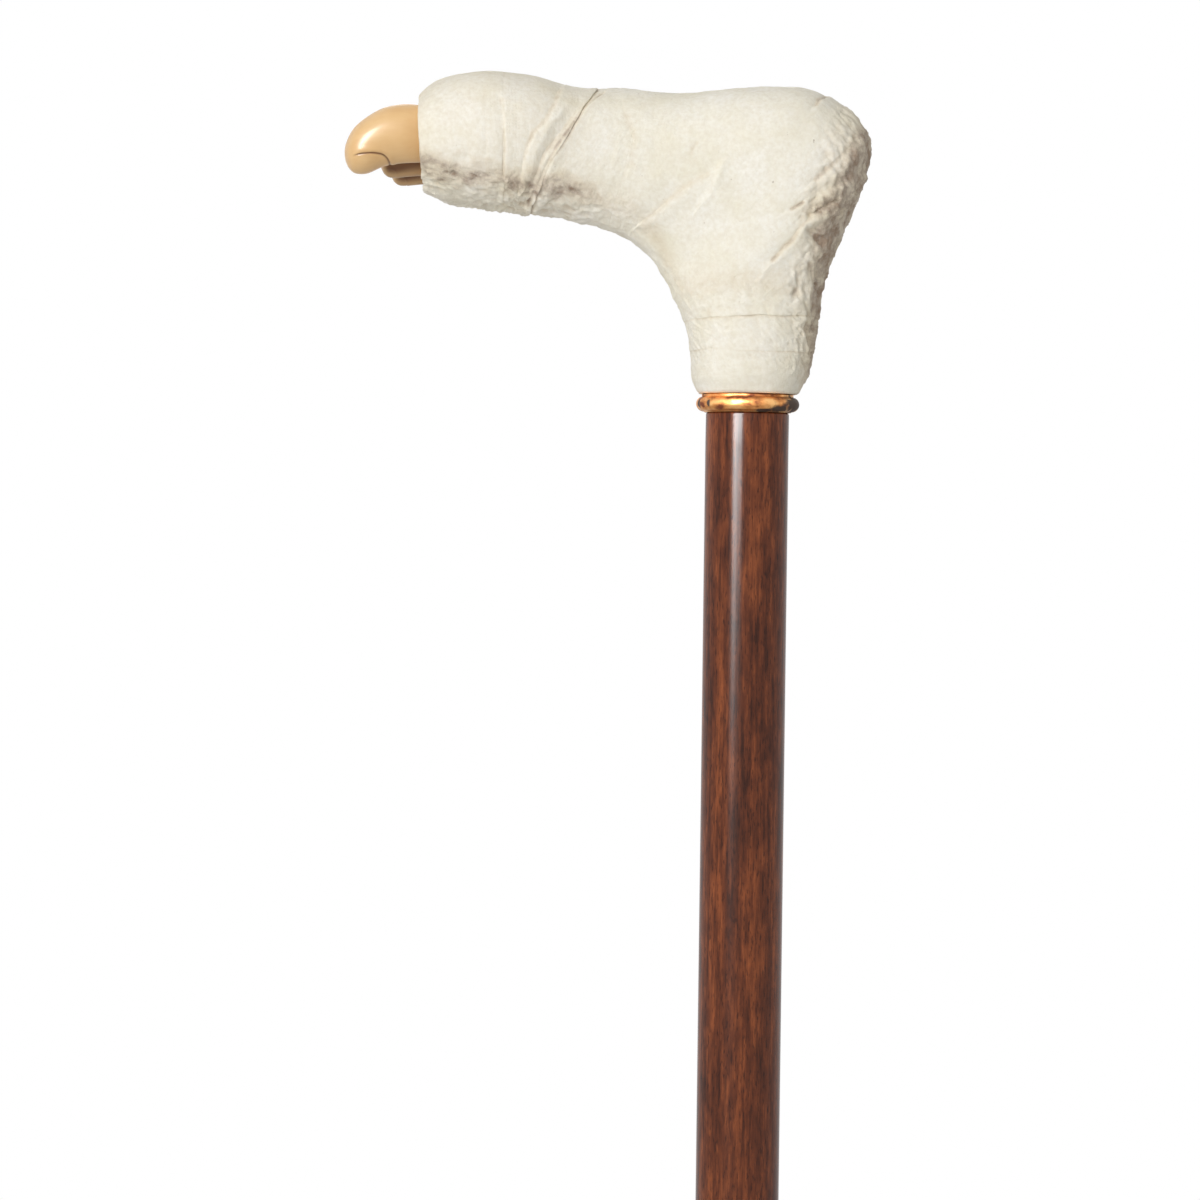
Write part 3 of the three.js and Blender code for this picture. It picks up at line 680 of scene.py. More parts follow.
def toe_grid(rows, middle_y, nail, size_of_grid):
    """A toe's surface: a loft along X, whose section is an ellipse, with a nail sunk into its underside.
    The nail's rim is where the skin crosses a level, rounded off at the back. A thin groove runs along
    the rim, the skin swells a little over it, and it fades at the tip. Returns the points and how deep in
    the groove they are, from 0 to 1."""
    level, back_x, tip_x, size = nail
    along, around = size_of_grid
    s = (len(rows) - 1) * (1 - (1 - np.linspace(0, 1, along)) ** 1.6)
    row = spline(rows, s)
    turn = np.linspace(0, 2 * np.pi, around, endpoint=False)[None, :]
    x = row[:, 0][:, None] + 0 * turn
    top, bottom, half = row[:, 1][:, None], row[:, 2][:, None], np.maximum(row[:, 3][:, None], 0.05)
    tall, core = np.maximum((top - bottom) / 2, 0.05), (top + bottom) / 2
    c, n = np.cos(turn), np.sin(turn)
    points = np.stack([x, middle_y - half * n * (1 + 0.06 * c), core + tall * c], axis=-1)
    beside = np.roll(points, -1, axis=1) - np.roll(points, 1, axis=1)
    out = np.cross(np.gradient(points, axis=0), beside)
    out /= np.maximum(np.linalg.norm(out, axis=-1, keepdims=True), 1e-9)
    from_core = points - np.stack([x, middle_y + 0 * x, core + 0 * x], axis=-1)
    out *= np.sign(np.sum(out * from_core, axis=-1, keepdims=True))
    wave = 0.1 * size * noise(points, 3 * size, seed=141)
    corner = 2.2 * size
    arch = 0.035 / size * (x - mix(tip_x, back_x, 0.5)) ** 2
    dx, dz = x - back_x + corner, points[..., 2] - level + arch + corner + wave
    rim = np.hypot(np.maximum(dx, 0), np.maximum(dz, 0)) + np.minimum(np.maximum(dx, dz), 0) - corner
    fade = smooth(x, tip_x - 0.6 * size, tip_x + 1.6 * size)
    groove = np.exp(-((rim / (0.24 * size)) ** 2)) * fade
    swell = np.exp(-(((rim - 0.9 * size) / (0.8 * size)) ** 2)) * fade
    lift = size * (0.13 * swell - 0.24 * groove)
    points = points + out * (lift + 0.05 * noise(points, 5, seed=142))[..., None]
    points[..., 2] += SHOULDER
    return points, groove


def small_toe_rows(tip_x, middle, thick):
    """A smaller toe, worked out from its middle height and thickness. It swells at its pad and droops to
    its tip."""
    back = SMALL_TOE_SHAPE[:, 0]
    droop = 0.12 * np.maximum(0, 5 - back)
    half = thick / 2 * SMALL_TOE_SHAPE[:, 1]
    rows = [tip_x + back, middle + half - droop, middle - half - droop, thick / 2 * SMALL_TOE_SHAPE[:, 2]]
    return np.stack(rows, axis=1)


# Materials

def colour(r, g, b):
    """A colour written as a screen shows it, from 0 to 255, as the light values that a shader takes."""
    parts = np.array([r, g, b]) / 255
    return tuple(np.where(parts <= 0.04045, parts / 12.92, ((parts + 0.055) / 1.055) ** 2.4)) + (1.0,)


def put(tree, kind, *links, **values):
    """Adds a shader node. Links are pairs of an input and the output that feeds it. Values whose names
    the node has are its settings, and the others are its inputs, with a space for each underscore."""
    made = tree.nodes.new("ShaderNode" + kind)
    for name, value in values.items():
        if hasattr(made, name):
            setattr(made, name, value)
        else:
            made.inputs[name.replace("_", " ")].default_value = value
    for socket, source in links:
        tree.links.new(made.inputs[socket], source)
    return made


def ramp(tree, source, *stops):
    """A colour ramp through stops of (place, colour), with colours as a screen shows them."""
    stops = [(position, colour(*value)) for position, value in stops]
    made = put(tree, "ValToRGB", ("Fac", source))
    bar = made.color_ramp.elements
    bar[0].position, bar[0].color = stops[0]
    bar[1].position, bar[1].color = stops[-1]
    for position, value in stops[1:-1]:
        bar.new(position).color = value
    return made.outputs["Color"]


def blend(tree, share, first, second, strength=None):
    """Mixes two colours by a share, which a strength makes smaller. Each colour is a socket, or is
    written as a screen shows it."""
    if strength is not None:
        share = maths(tree, "MULTIPLY", share, strength)
    made = put(tree, "Mix", data_type="RGBA", clamp_factor=True)
    tree.links.new(made.inputs[0], share)
    for socket, value in ((made.inputs[6], first), (made.inputs[7], second)):
        if isinstance(value, bpy.types.NodeSocket):
            tree.links.new(socket, value)
        else:
            socket.default_value = colour(*value)
    return made.outputs[2]


def maths(tree, operation, first, second=None, clamp=False):
    """One operation on two values, each a socket or a number."""
    made = put(tree, "Math", operation=operation, use_clamp=clamp)
    for socket, value in zip(made.inputs, (first, second)):
        if isinstance(value, bpy.types.NodeSocket):
            tree.links.new(socket, value)
        elif value is not None:
            socket.default_value = value
    return made.outputs[0]


def span(tree, value, low_in, high_in, low_out, high_out):
    """Maps a value's range to another, and stops at its ends."""
    ends = {"From_Min": low_in, "From_Max": high_in, "To_Min": low_out, "To_Max": high_out}
    return put(tree, "MapRange", ("Value", value), clamp=True, **ends).outputs["Result"]


def new_material(name, **constants):
    """A material with its own shader and the object's coordinates."""
    material = bpy.data.materials.new(name)
    material.use_nodes = True
    tree = material.node_tree
    shader = tree.nodes["Principled BSDF"]
    for key, value in constants.items():
        shader.inputs[key.replace("_", " ")].default_value = value
    return material, tree, shader, put(tree, "TexCoord").outputs["Object"]


def drive(tree, shader, **sources):
    """Links outputs to the shader's inputs, which are named with an underscore for each space."""
    for key, source in sources.items():
        tree.links.new(shader.inputs[key.replace("_", " ")], source)


def noise_of(tree, coordinates, scale, detail=3.0, stretch=None, roughness=0.55):
    """A noise texture. Scale is about how many lumps lie along one unit of its coordinates, which is a
    metre of the object's or a millimetre of the band's. Stretch multiplies that along each axis."""
    if stretch is not None:
        coordinates = put(tree, "Mapping", ("Vector", coordinates), Scale=stretch).outputs["Vector"]
    made = put(tree, "TexNoise", ("Vector", coordinates), Scale=scale, Detail=detail, Roughness=roughness)
    return made.outputs["Fac"]


def bump(tree, shader, *layers):
    """Bumps on bumps: each layer is a height, how strong it is, and how tall it is in metres."""
    normal = None
    for height, strength, distance in layers:
        links = [("Height", height)] + ([("Normal", normal)] if normal else [])
        normal = put(tree, "Bump", *links, Strength=strength, Distance=distance).outputs["Normal"]
    drive(tree, shader, Normal=normal)


def plaster_finish(name, tones):
    """Dry plaster on gauze: cream white, yellow brown where shade is painted in its creases, beside its
    seams, under the forefoot and instep and down the back of the heel, with some soiling there, with a few
    specks, fine grit, and the gauze's weave just showing through in patches. The weave follows the band."""
    material, tree, shader, at = new_material(name, Roughness=0.92, Specular_IOR_Level=0.25)
    patches = span(tree, noise_of(tree, at, 70, 5, roughness=0.65), 0.38, 0.66, 0, 1)
    base = blend(tree, patches, tones.plaster_pale, tones.plaster_warm)
    mottle = span(tree, noise_of(tree, at, 950, 3), 0.35, 0.7, 0, 0.45)
    base = blend(tree, mottle, base, tones.plaster_fleck)
    # Painted shade in creases, seams, under the cast and down its back, with some soiling, broken into
    # patches.
    hollow = put(tree, "Attribute", attribute_name="hollow").outputs["Fac"]
    soil_and_shade_patches = span(tree, noise_of(tree, at, 240, 5, roughness=0.7), 0.36, 0.64, 0.42, 1.14)
    soiled_and_shaded = maths(tree, "MULTIPLY", hollow, soil_and_shade_patches, clamp=True)
    soil_and_shade_tint = ramp(tree, soiled_and_shaded, (0.2, tones.plaster_light_soil_and_shade), (0.72, tones.plaster_dark_soil_and_shade))
    base = blend(tree, soiled_and_shaded, base, soil_and_shade_tint, 0.85)
    specks = span(tree, noise_of(tree, at, 640, 2), 0.745, 0.8, 0, 0.6)
    base = blend(tree, specks, base, tones.plaster_dark_soil_and_shade)
    drive(tree, shader, Base_Color=base)
    band = put(tree, "UVMap", uv_map="band").outputs["UV"]
    bent = noise_of(tree, at, 300, 3)
    split = put(tree, "SeparateXYZ", ("Vector", band))
    turns = 2 * math.pi / tones.weave_pitch
    threads = []
    for axis in ("X", "Y"):
        phase = maths(tree, "MULTIPLY", split.outputs[axis], turns)
        threads.append(maths(tree, "SINE", maths(tree, "ADD", phase, maths(tree, "MULTIPLY", bent, 9.0))))
    shown = span(tree, noise_of(tree, at, 110, 3), 0.5, 0.7, 0.0, 1.0)
    weave = maths(tree, "MULTIPLY", maths(tree, "ADD", *threads), shown)
    rougher = maths(tree, "ADD", hollow, 0.55)
    dabs = maths(tree, "MULTIPLY", noise_of(tree, at, 480, 4, roughness=0.6), rougher)
    grit = noise_of(tree, at, 1400, 4, roughness=0.65)
    strands = noise_of(tree, band, 0.7, 3, (0.16, 1, 1))
    fabric = (weave, 0.13, 0.0001), (strands, 0.5, 0.0003)
    bump(tree, shader, *fabric, (dabs, 0.65, 0.0006), (grit, 0.4, 0.0002))
    return material


def carved_wood_finish(name, tones):
    """Pale close-grained wood, stained tan and varnished: faint streaks along the toes, darker in the nails'
    grooves, and brown with painted shade and staining between the smaller toes and on the pad behind them."""
    varnish = {"Specular_IOR_Level": 0.2, "Coat_Weight": 0.24, "Coat_Roughness": 0.22}
    material, tree, shader, at = new_material(name, Roughness=0.42, **varnish)
    streaks = span(tree, noise_of(tree, at, 1, 4, (60, 420, 420)), 0.3, 0.72, 0, 1)
    base = blend(tree, streaks, tones.toe_tan, tones.toe_deep, 0.55)
    clouds = span(tree, noise_of(tree, at, 120, 3), 0.4, 0.75, 0, 1)
    base = blend(tree, clouds, base, tones.toe_bright, 0.35)
    hollow = put(tree, "Attribute", attribute_name="hollow").outputs["Fac"]
    # Darker in the nails' grooves; painted shade with staining between the toes and on the pad behind them.
    drive(tree, shader, Base_Color=blend(tree, hollow, base, tones.toe_groove, 0.92))
    pores = noise_of(tree, at, 1, 3, (500, 2600, 2600))
    bump(tree, shader, (noise_of(tree, at, 90, 2), 0.25, 0.0004), (pores, 0.12, 0.00006))
    return material


def shaft_finish(name, tones):
    """Straight-grained wood, stained reddish brown and varnished: orange and dark streaks, short dark
    pores and flecks along the grain, and a faint ripple in the varnish."""
    varnish = {"Specular_IOR_Level": 0.0, "Coat_Weight": 0.62, "Coat_Roughness": 0.17, "Coat_IOR": 1.38}
    material, tree, shader, at = new_material(name, Roughness=0.45, **varnish)
    broad = noise_of(tree, at, 1, 3, (210, 210, 14))
    narrow = noise_of(tree, at, 1, 5, (900, 900, 60), 0.7)
    blotches = noise_of(tree, at, 1, 3, (520, 520, 150), 0.6)
    grain = maths(tree, "ADD", maths(tree, "MULTIPLY", broad, 0.35), maths(tree, "MULTIPLY", narrow, 0.4))
    grain = maths(tree, "ADD", grain, maths(tree, "MULTIPLY", blotches, 0.25))
    streaks = (0.38, tones.stain_dark), (0.5, tones.stain_brown), (0.62, tones.stain_orange)
    base = ramp(tree, grain, *streaks)
    flecks = span(tree, noise_of(tree, at, 1, 2, (2400, 2400, 420)), 0.56, 0.68, 0, 1)
    base = blend(tree, flecks, base, tones.stain_dark, 0.7)
    pores = span(tree, noise_of(tree, at, 1, 1, (3600, 3600, 150)), 0.6, 0.72, 0, 1)
    drive(tree, shader, Base_Color=blend(tree, pores, base, tones.stain_pore, 0.5))
    ripple = noise_of(tree, at, 1, 2, (160, 160, 40))
    bump(tree, shader, (ripple, 0.2, 0.0003), (pores, 0.25, 0.00005))
    return material


def gilt_finish(name, tones):
    """Gilt brass that has tarnished: coppery gold with brown patina in patches, nearly black in spots of
    painted dark reflection and of tarnishing, and fine scratches round it."""
    material, tree, shader, at = new_material(name)
    patches = noise_of(tree, at, 210, 4, (1, 1, 1.8))
    patina = (0.36, tones.gilt_brown), (0.48, tones.gilt_copper), (0.62, tones.gilt_bright)
    base = ramp(tree, patches, *patina)
    # Spots of painted dark reflection and of tarnishing, also less metallic and rougher.
    reflection_and_tarnish = put(tree, "Attribute", attribute_name="hollow").outputs["Fac"]
    ragged = span(tree, maths(tree, "ADD", reflection_and_tarnish, noise_of(tree, at, 700, 3)), 0.78, 1.12, 0, 0.95)
    base = blend(tree, ragged, base, tones.gilt_reflection_and_tarnish)
    dull = maths(tree, "MULTIPLY", ragged, 0.75)
    dull = maths(tree, "MAXIMUM", span(tree, patches, 0.34, 0.6, 0.58, 0.36), dull)
    drive(tree, shader, Base_Color=base, Metallic=span(tree, ragged, 0, 1, 1, 0.2), Roughness=dull)
    scratches = noise_of(tree, at, 1, 3, (120, 120, 3800))
    bump(tree, shader, (patches, 0.35, 0.0003), (scratches, 0.15, 0.00004))
    return material


def brass_finish(name, tones):
    """Plain drawn brass: soft yellow, slightly dull, with fine scratches along the stick."""
    material, tree, shader, at = new_material(name, Metallic=1.0)
    clouds = noise_of(tree, at, 130, 4)
    base = ramp(tree, clouds, (0.35, tones.brass_dull), (0.65, tones.brass_bright))
    drive(tree, shader, Base_Color=base, Roughness=span(tree, clouds, 0.3, 0.7, 0.42, 0.24))
    bump(tree, shader, (noise_of(tree, at, 1, 3, (1600, 1600, 60)), 0.12, 0.00005))
    return material


def steel_finish(name, tones):
    """Plain steel, matt and slightly uneven."""
    material, tree, shader, at = new_material(name, Metallic=1.0)
    clouds = noise_of(tree, at, 300, 4)
    base = ramp(tree, clouds, (0.3, tones.steel_dull), (0.7, tones.steel_bright))
    drive(tree, shader, Base_Color=base, Roughness=span(tree, clouds, 0.3, 0.7, 0.5, 0.32))
    bump(tree, shader, (noise_of(tree, at, 1500, 2), 0.1, 0.00004))
    return material


def rubber_finish(name, tones):
    """Black rubber, matt, with a dusty bloom in patches and a fine moulded grain."""
    material, tree, shader, at = new_material(name, Roughness=0.78)
    bloom = noise_of(tree, at, 90, 5)
    base = ramp(tree, bloom, (0.35, tones.rubber_black), (0.72, tones.rubber_bloom))
    drive(tree, shader, Base_Color=base)
    bump(tree, shader, (noise_of(tree, at, 1800, 3), 0.25, 0.00008))
    return material


MAKERS = {
    "plaster": plaster_finish,
    "carved_wood": carved_wood_finish,
    "stained_wood": shaft_finish,
    "gilt_brass": gilt_finish,
    "brass": brass_finish,
    "steel": steel_finish,
    "black_rubber": rubber_finish,
}


def finish_for(context, slot):
    """The finish for one of the record's slots, made the first time that a piece asks for it."""
    name = slot + "_finish"
    return bpy.data.materials.get(name) or MAKERS[slot](name, context.scene.stick_finish)


# The add-on

def tone(name, description, default):
    """A colour written as a screen shows it, from 0 to 255."""
    return FloatVectorProperty(name=name, description=description, size=3, min=0, max=255, default=default)


def count(name, description, default):
    """A whole number."""
    return IntProperty(name=name, description=description, default=default)


def amount(name, description, default, **kind):
    """A number, with a unit or a subtype where one is given."""
    return FloatProperty(name=name, description=description, default=default, **kind)


class StickShape(PropertyGroup):
    """Sizes of the visible pieces."""

    places: count("Places", "Rows of points in each turn of the bandage", 380)
    across: count("Across", "Points across the open part of each turn of the bandage", 54)
    facets: count("Facets", "Facets round a turned piece", 160)
    taper_start: amount("Taper Start", "Height below which the shaft tapers", 620.0)
    shaft_foot: amount("Shaft Foot", "Shaft's radius above the ferrule", 9.1)


class StickFinish(PropertyGroup):
    """Colours and textures of the finishes."""

    plaster_pale: tone("Plaster", "Cream white of the plaster", (242, 238, 227))
    plaster_warm: tone("Warm Plaster", "Where the plaster is yellower", (235, 229, 210))
    plaster_fleck: tone("Fleck", "Fine mottling of the plaster", (220, 210, 188))
    # These two colours paint shade in creases and seams, under the cast and down its back, with some
    # soiling.
    plaster_light_soil_and_shade: tone("Stain", "Yellow of the plaster where it is lightly soiled", (192, 160, 108))
    plaster_dark_soil_and_shade: tone("Crease", "Brown in the plaster's creases", (144, 117, 94))
    weave_pitch: amount("Weave Pitch", "Distance between the gauze's threads", 0.8)
    toe_tan: tone("Tan", "Tan of the carved wood", (229, 189, 134))
    toe_deep: tone("Deep Tan", "Streaks in the carved wood", (216, 168, 112))
    toe_bright: tone("Bright Tan", "Pale clouds in the carved wood", (240, 208, 158))
    # Also painted shade, with staining, between the smaller toes and on the pad behind them.
    toe_groove: tone("Groove", "Stain caught in the nails' grooves", (88, 42, 20))
    stain_dark: tone("Dark Stain", "Darkest streaks of the shaft", (46, 20, 12))
    stain_brown: tone("Brown Stain", "Main colour of the shaft", (100, 50, 28))
    stain_orange: tone("Orange Stain", "Brightest streaks of the shaft", (148, 80, 44))
    stain_pore: tone("Pore", "Pores along the shaft's grain", (30, 17, 12))
    gilt_brown: tone("Gilt Patina", "Brown patina of the collar", (112, 64, 44))
    gilt_copper: tone("Gilt", "Main colour of the collar", (200, 138, 82))
    gilt_bright: tone("Bright Gilt", "Where the collar is bright", (238, 184, 120))
    # Painted dark reflection on the bead, and tarnishing.
    gilt_reflection_and_tarnish: tone("Tarnish", "Black patches on the collar's bead", (34, 23, 22))
    brass_dull: tone("Brass", "Duller clouds in the ferrule's brass", (150, 116, 64))
    brass_bright: tone("Bright Brass", "Brighter clouds in the ferrule's brass", (206, 170, 106))
    steel_dull: tone("Steel", "Darker clouds in the washer's steel", (128, 130, 134))
    steel_bright: tone("Bright Steel", "Lighter clouds in the washer's steel", (172, 174, 178))
    rubber_black: tone("Rubber", "Black of the rubber tip", (26, 26, 27))
    rubber_bloom: tone("Bloom", "Dusty bloom on the rubber tip", (58, 57, 56))


class StickStudio(PropertyGroup):
    """Light, floor and camera."""

    key_power: amount("Key", "Power of the tall lamp on the left", 5.8, unit="POWER")
    strip_power: amount("Strip", "Power of the tall lamp seen in gloss alone", 44.0, unit="POWER")
    fill_power: amount("Fill", "Power of the broad lamp in front", 2.4, unit="POWER")
    rear_power: amount("Rear", "Power of the broad lamp behind", 4.2, unit="POWER")
    ambient: amount("Ambient", "Strength of the light from all round", 0.48)
    floor_shade: tone("Floor Shade", "Darker clouds on the floor", (243, 243, 242))
    floor_pale: tone("Floor", "Paler clouds on the floor", (248, 248, 247))
    frame_height: amount("Frame", "Height of the picture at the stick", 0.3, unit="LENGTH")
    distance: amount("Distance", "From the camera to the stick", 1.5, unit="LENGTH")
    lean: amount("Lean", "The camera's roll", math.radians(0.767), subtype="ANGLE")


class STICK_OT_shaft(Operator):
    """Turn the shaft, parallel at the top and tapering to the ferrule"""

    bl_idname = "stick.shaft"
    bl_label = "Shaft"

    def execute(self, context):
        shape = context.scene.stick_shape
        foot, rim = shape.shaft_foot, FERRULE_TOP + 0.1
        share = np.linspace(0, 1, 60)[:, None]
        radius = foot + (SHAFT_RADIUS - foot) * np.sin(share * np.pi / 2) ** 1.2
        taper = np.hstack([radius, mix(rim, shape.taper_start, share)])
        profile = [[PLUG_RADIUS, low("shaft").z], [PLUG_RADIUS, rim], *taper.tolist()]
        profile += [[SHAFT_RADIUS, SHOULDER - 0.5]]
        profile += arc(SHAFT_RADIUS - 0.5, SHOULDER - 0.5, 0.5, 10, 90, 5)
        profile += [[SPIGOT_RADIUS, SHOULDER], [SPIGOT_RADIUS, SHOULDER + SPIGOT_HEIGHT]]
        grid = turned(fine(profile, 8.0), shape.facets, self.ripple)
        place(surface("shaft_wood", grid, finish_for(context, "stained_wood")), "shaft")
        return {"FINISHED"}

    def ripple(self, p):
        """Long faint ripples in the wood, which leave the turned end true."""
        return 0.05 * noise(p * [1, 1, 0.12], 14, seed=101) * (p[..., 2] < SHOULDER - 3)


class STICK_OT_collar(Operator):
    """Turn the collar with its bead, and dent it a little"""

    bl_idname = "stick.collar"
    bl_label = "Collar"

    def execute(self, context):
        bottom, top = low("collar").z, high("collar").z
        band = BEAD_RADIUS - 1.35
        middle = bottom + 0.2 + BEAD_HALF
        profile = [[COLLAR_BORE, bottom], *arc(band - 0.8, bottom + 0.2, 0.2, -90, -10, 4)]
        profile += arc(BEAD_RADIUS - BEAD_HALF, middle, BEAD_HALF, -74, 56, 30)
        profile += [[band - 0.1, top - 0.7], [band, top - 0.6]]
        profile += [*arc(band - 0.3, top - 0.3, 0.3, 0, 90, 6), [COLLAR_BORE, top]]
        grid = turned(fine(profile, 0.25), 2 * context.scene.stick_shape.facets, self.dents)
        reflection_and_tarnish = self.dark_reflection_and_tarnish(grid, middle)
        ring = surface("collar_ring", grid, finish_for(context, "gilt_brass"), "wrap", hollow=reflection_and_tarnish)
        place(ring, "collar")
        return {"FINISHED"}

    def dark_reflection_and_tarnish(self, p, middle):
        """Soft spots of painted dark reflection and of tarnishing on the bead, from 0 to 1, each at its
        angle about Z and its height, and as long and tall as it is."""
        angle = np.degrees(np.arctan2(p[..., 1], p[..., 0]))
        reflection_and_tarnish = np.zeros(angle.shape)
        for centre, height, long, tall in REFLECTION_AND_TARNISH:
            apart = np.abs((angle - centre + 180) % 360 - 180)
            along = apart * BEAD_RADIUS * math.pi / 180 / long
            reflection_and_tarnish = np.maximum(reflection_and_tarnish, np.exp(-(along**2) - ((p[..., 2] - middle - height) / tall) ** 2))
        return reflection_and_tarnish

    def dents(self, p):
        """Shallow dents and wear, where the ring can be touched."""
        return 0.09 * rough(p, 4, seed=111, octaves=2) * (np.hypot(p[..., 0], p[..., 1]) > 9)


class STICK_OT_tip(Operator):
    """Make the ferrule, its pin, the washer and the rubber tip"""

    bl_idname = "stick.tip"
    bl_label = "Ferrule and Tip"

    def execute(self, context):
        facets = context.scene.stick_shape.facets
        brass = finish_for(context, "brass")
        place(surface("ferrule_cup", turned(self.ferrule(), facets), brass, "wrap"), "ferrule")
        place(surface("ferrule_pin_head", self.pin(), brass), "ferrule_pin")
        steel = finish_for(context, "steel")
        place(surface("washer_disc", turned(self.washer(), facets), steel), "tip_washer")
        rubber = finish_for(context, "black_rubber")
        place(surface("rubber_tip_cup", turned(self.rubber(), facets), rubber), "rubber_tip")
        return {"FINISHED"}

    def ferrule(self):
        """A drawn cup's profile, with a bead rolled below its rim."""
        wide, bottom, top, axis = FERRULE_RADIUS, low("ferrule").z, FERRULE_TOP, 0.4
        profile = [[axis, bottom], [wide - 0.9, bottom], *arc(wide - 0.9, bottom + 0.9, 0.9, -90, 0, 8)]
        profile += arc(wide, top - 3.1, 0.5, -80, 80, 12)
        profile += [[wide, top - 0.2], [wide - 0.2, top], [FERRULE_BORE, top]]
        profile += [[FERRULE_BORE, bottom + 1], [axis, bottom + 1]]
        return fine(profile, 2.0)

    def pin(self):
        """A shank with a low domed head, turned about Y at the ferrule's far side."""
        side, height = FERRULE_RADIUS, FERRULE_TOP - 5
        angles = np.linspace(0, 1.5, 12)
        dome = [[PIN_HEAD_RADIUS * math.cos(t), side + 0.05 + 0.8 * math.sin(t)] for t in angles]
        profile = [[PIN_RADIUS, 4.5], [PIN_RADIUS, side], [PIN_HEAD_RADIUS - 0.08, side], *dome]
        grid = turned(np.array(profile), 32)
        return np.stack([grid[..., 0], grid[..., 2], height - grid[..., 1]], axis=-1)

    def washer(self):
        """A flat disc's profile, with broken edges."""
        wide, bottom, top = WASHER_RADIUS, low("tip_washer").z, high("tip_washer").z
        profile = [[1.0, bottom], [wide - 0.2, bottom], [wide, bottom + 0.2]]
        profile += [[wide, top - 0.2], [wide - 0.2, top], [1.0, top]]
        return np.array(profile)

    def rubber(self):
        """A cup's profile, with grooves in its underside, a flared foot and a thick lip."""
        wide, top = TIP_RADIUS, TIP_TOP
        under = [[1.0, 0], *self.groove(4.8, 7.2), *self.groove(9.0, 11.2)]
        side = [*arc(wide - 0.8, 0.8, 0.8, -90, 0, 8), [wide - 0.1, 5], [wide - 0.9, 7.4]]
        side += [[11.7, 9], [11.35, 14], [11.15, 22]]
        lip = [[11.1, top - 5.2], [11.3, top - 4.6], [11.8, top - 4.2]]
        lip += arc(11.3, top - 0.6, 0.6, 0, 90, 6)
        bore = [[9.2, top], [9.2, 8.0], [1.0, 8.0]]
        return fine(under + side + lip + bore, 1.2)

    def groove(self, inner, outer):
        """A round groove in the tip's underside."""
        edge = [[inner, 0], [inner + 0.2, 0.2], [inner + 0.3, 1.2]]
        return edge + [[outer - 0.3, 1.2], [outer - 0.2, 0.2], [outer, 0]]


class STICK_OT_foot(Operator):
    """Carve the foot, with its toes showing in the cast's opening"""

    bl_idname = "stick.foot"
    bl_label = "Carved Foot"

    def execute(self, context):
        grids = {"big_toe": toe_grid(BIG_TOE, BIG_TOE_Y, BIG_TOE_NAIL, BIG_TOE_GRID)}
        for number, toe in enumerate(SMALL_TOES, 2):
            grids[f"toe_{number}"] = self.small_toe(*toe)
        grids["foot_in_cast"] = self.foot()
        wood = finish_for(context, "carved_wood")
        for name, (grid, shade) in grids.items():
            place(surface(name, grid, wood, hollow=shade), "carved_foot")
        return {"FINISHED"}

    def small_toe(self, tip_x, middle_y, middle, thick):
        """A smaller toe's points, and how dark each is, from 0 to 1: painted shade with some staining, brown
        back from its tip and darkest on its sides, where the toes beside it shade it, and darker in its
        nail's groove."""
        nail = middle - 0.3 * thick, tip_x + 4.0, tip_x + 0.8, 0.45
        grid, groove = toe_grid(small_toe_rows(tip_x, middle, thick), middle_y, nail, SMALL_TOE_GRID)
        beside = smooth(np.abs(grid[..., 1] - middle_y) / thick, 0.22, 0.42)
        height = (grid[..., 2] - SHOULDER - middle) / thick
        shade = 0.42 + 0.58 * beside * mix(0.8, 1.0, smooth(np.abs(height + 0.08), 0.04, 0.3))
        return grid, np.maximum(0.5 * groove, shade * smooth(grid[..., 0] - tip_x, 0.1, 2.2))

    def foot(self):
        """The foot inside the cast and the rounded pad that fills its opening behind the toes, and how dark
        each
        point is, from 0 to 1: painted shade, darkest at the pad's rim and just inside the opening."""
        rows, around = FOOT_GRID
        s, a = station_grid(np.linspace(0.45, 15.75, rows), around)
        inside = cast_nominal(s, a) + cast_outward(s, a) * (WOOD_DEPTH * thinned(s))[..., None]
        reach = np.linspace(0.04, 1, PAD_ROWS, endpoint=False)[:, None]
        pad = mix(inside[0].mean(axis=0), inside[0], reach[..., None])
        pad[..., 0] -= 1.7 * np.sqrt(1 - reach**3)
        pad_shade = np.repeat(mix(0.12, 0.62, reach**3), around, axis=1)
        shade = np.concatenate([pad_shade, 0.62 * smooth(-s, -3.0, -0.4)])
        return np.concatenate([pad, inside]), shade


class STICK_OT_bandage(Operator):
    """Wind the three rolls of plaster bandage over their lining"""

    bl_idname = "stick.bandage"
    bl_label = "Plaster Bandage"

    def execute(self, context):
        shape = context.scene.stick_shape
        plaster = finish_for(context, "plaster")
        for node, (first, last) in ROLLS.items():
            points, band, hollow = bandage_grid(first, last, shape.places, shape.across)
            place(surface(node + "_wound", points, plaster, "face", band, hollow), node)
        place(self.lining(plaster), "bandage_lining")
        return {"FINISHED"}

    def lining(self, plaster):
        """The layer under the rolls: one sheet, out along its upper side and back along its underside."""
        rows, around = LINING_GRID
        along = np.linspace(0.12, 15.95, rows)
        s, a = station_grid(np.concatenate([along, along[::-1]]), around)
        depth = np.repeat([LINING_TOP, LINING_UNDERSIDE], rows)[:, None] * thinned(s)
        nominal = cast_nominal(s, a)
        depth = depth + 0.12 * rough(nominal, 2, seed=121, octaves=2)
        grid = nominal + cast_outward(s, a) * depth[..., None]
        band = np.stack([18 * a, 6 * s], axis=-1)
        return surface("lining_layer", grid, plaster, "wrap", band, np.full(s.shape, 0.3))


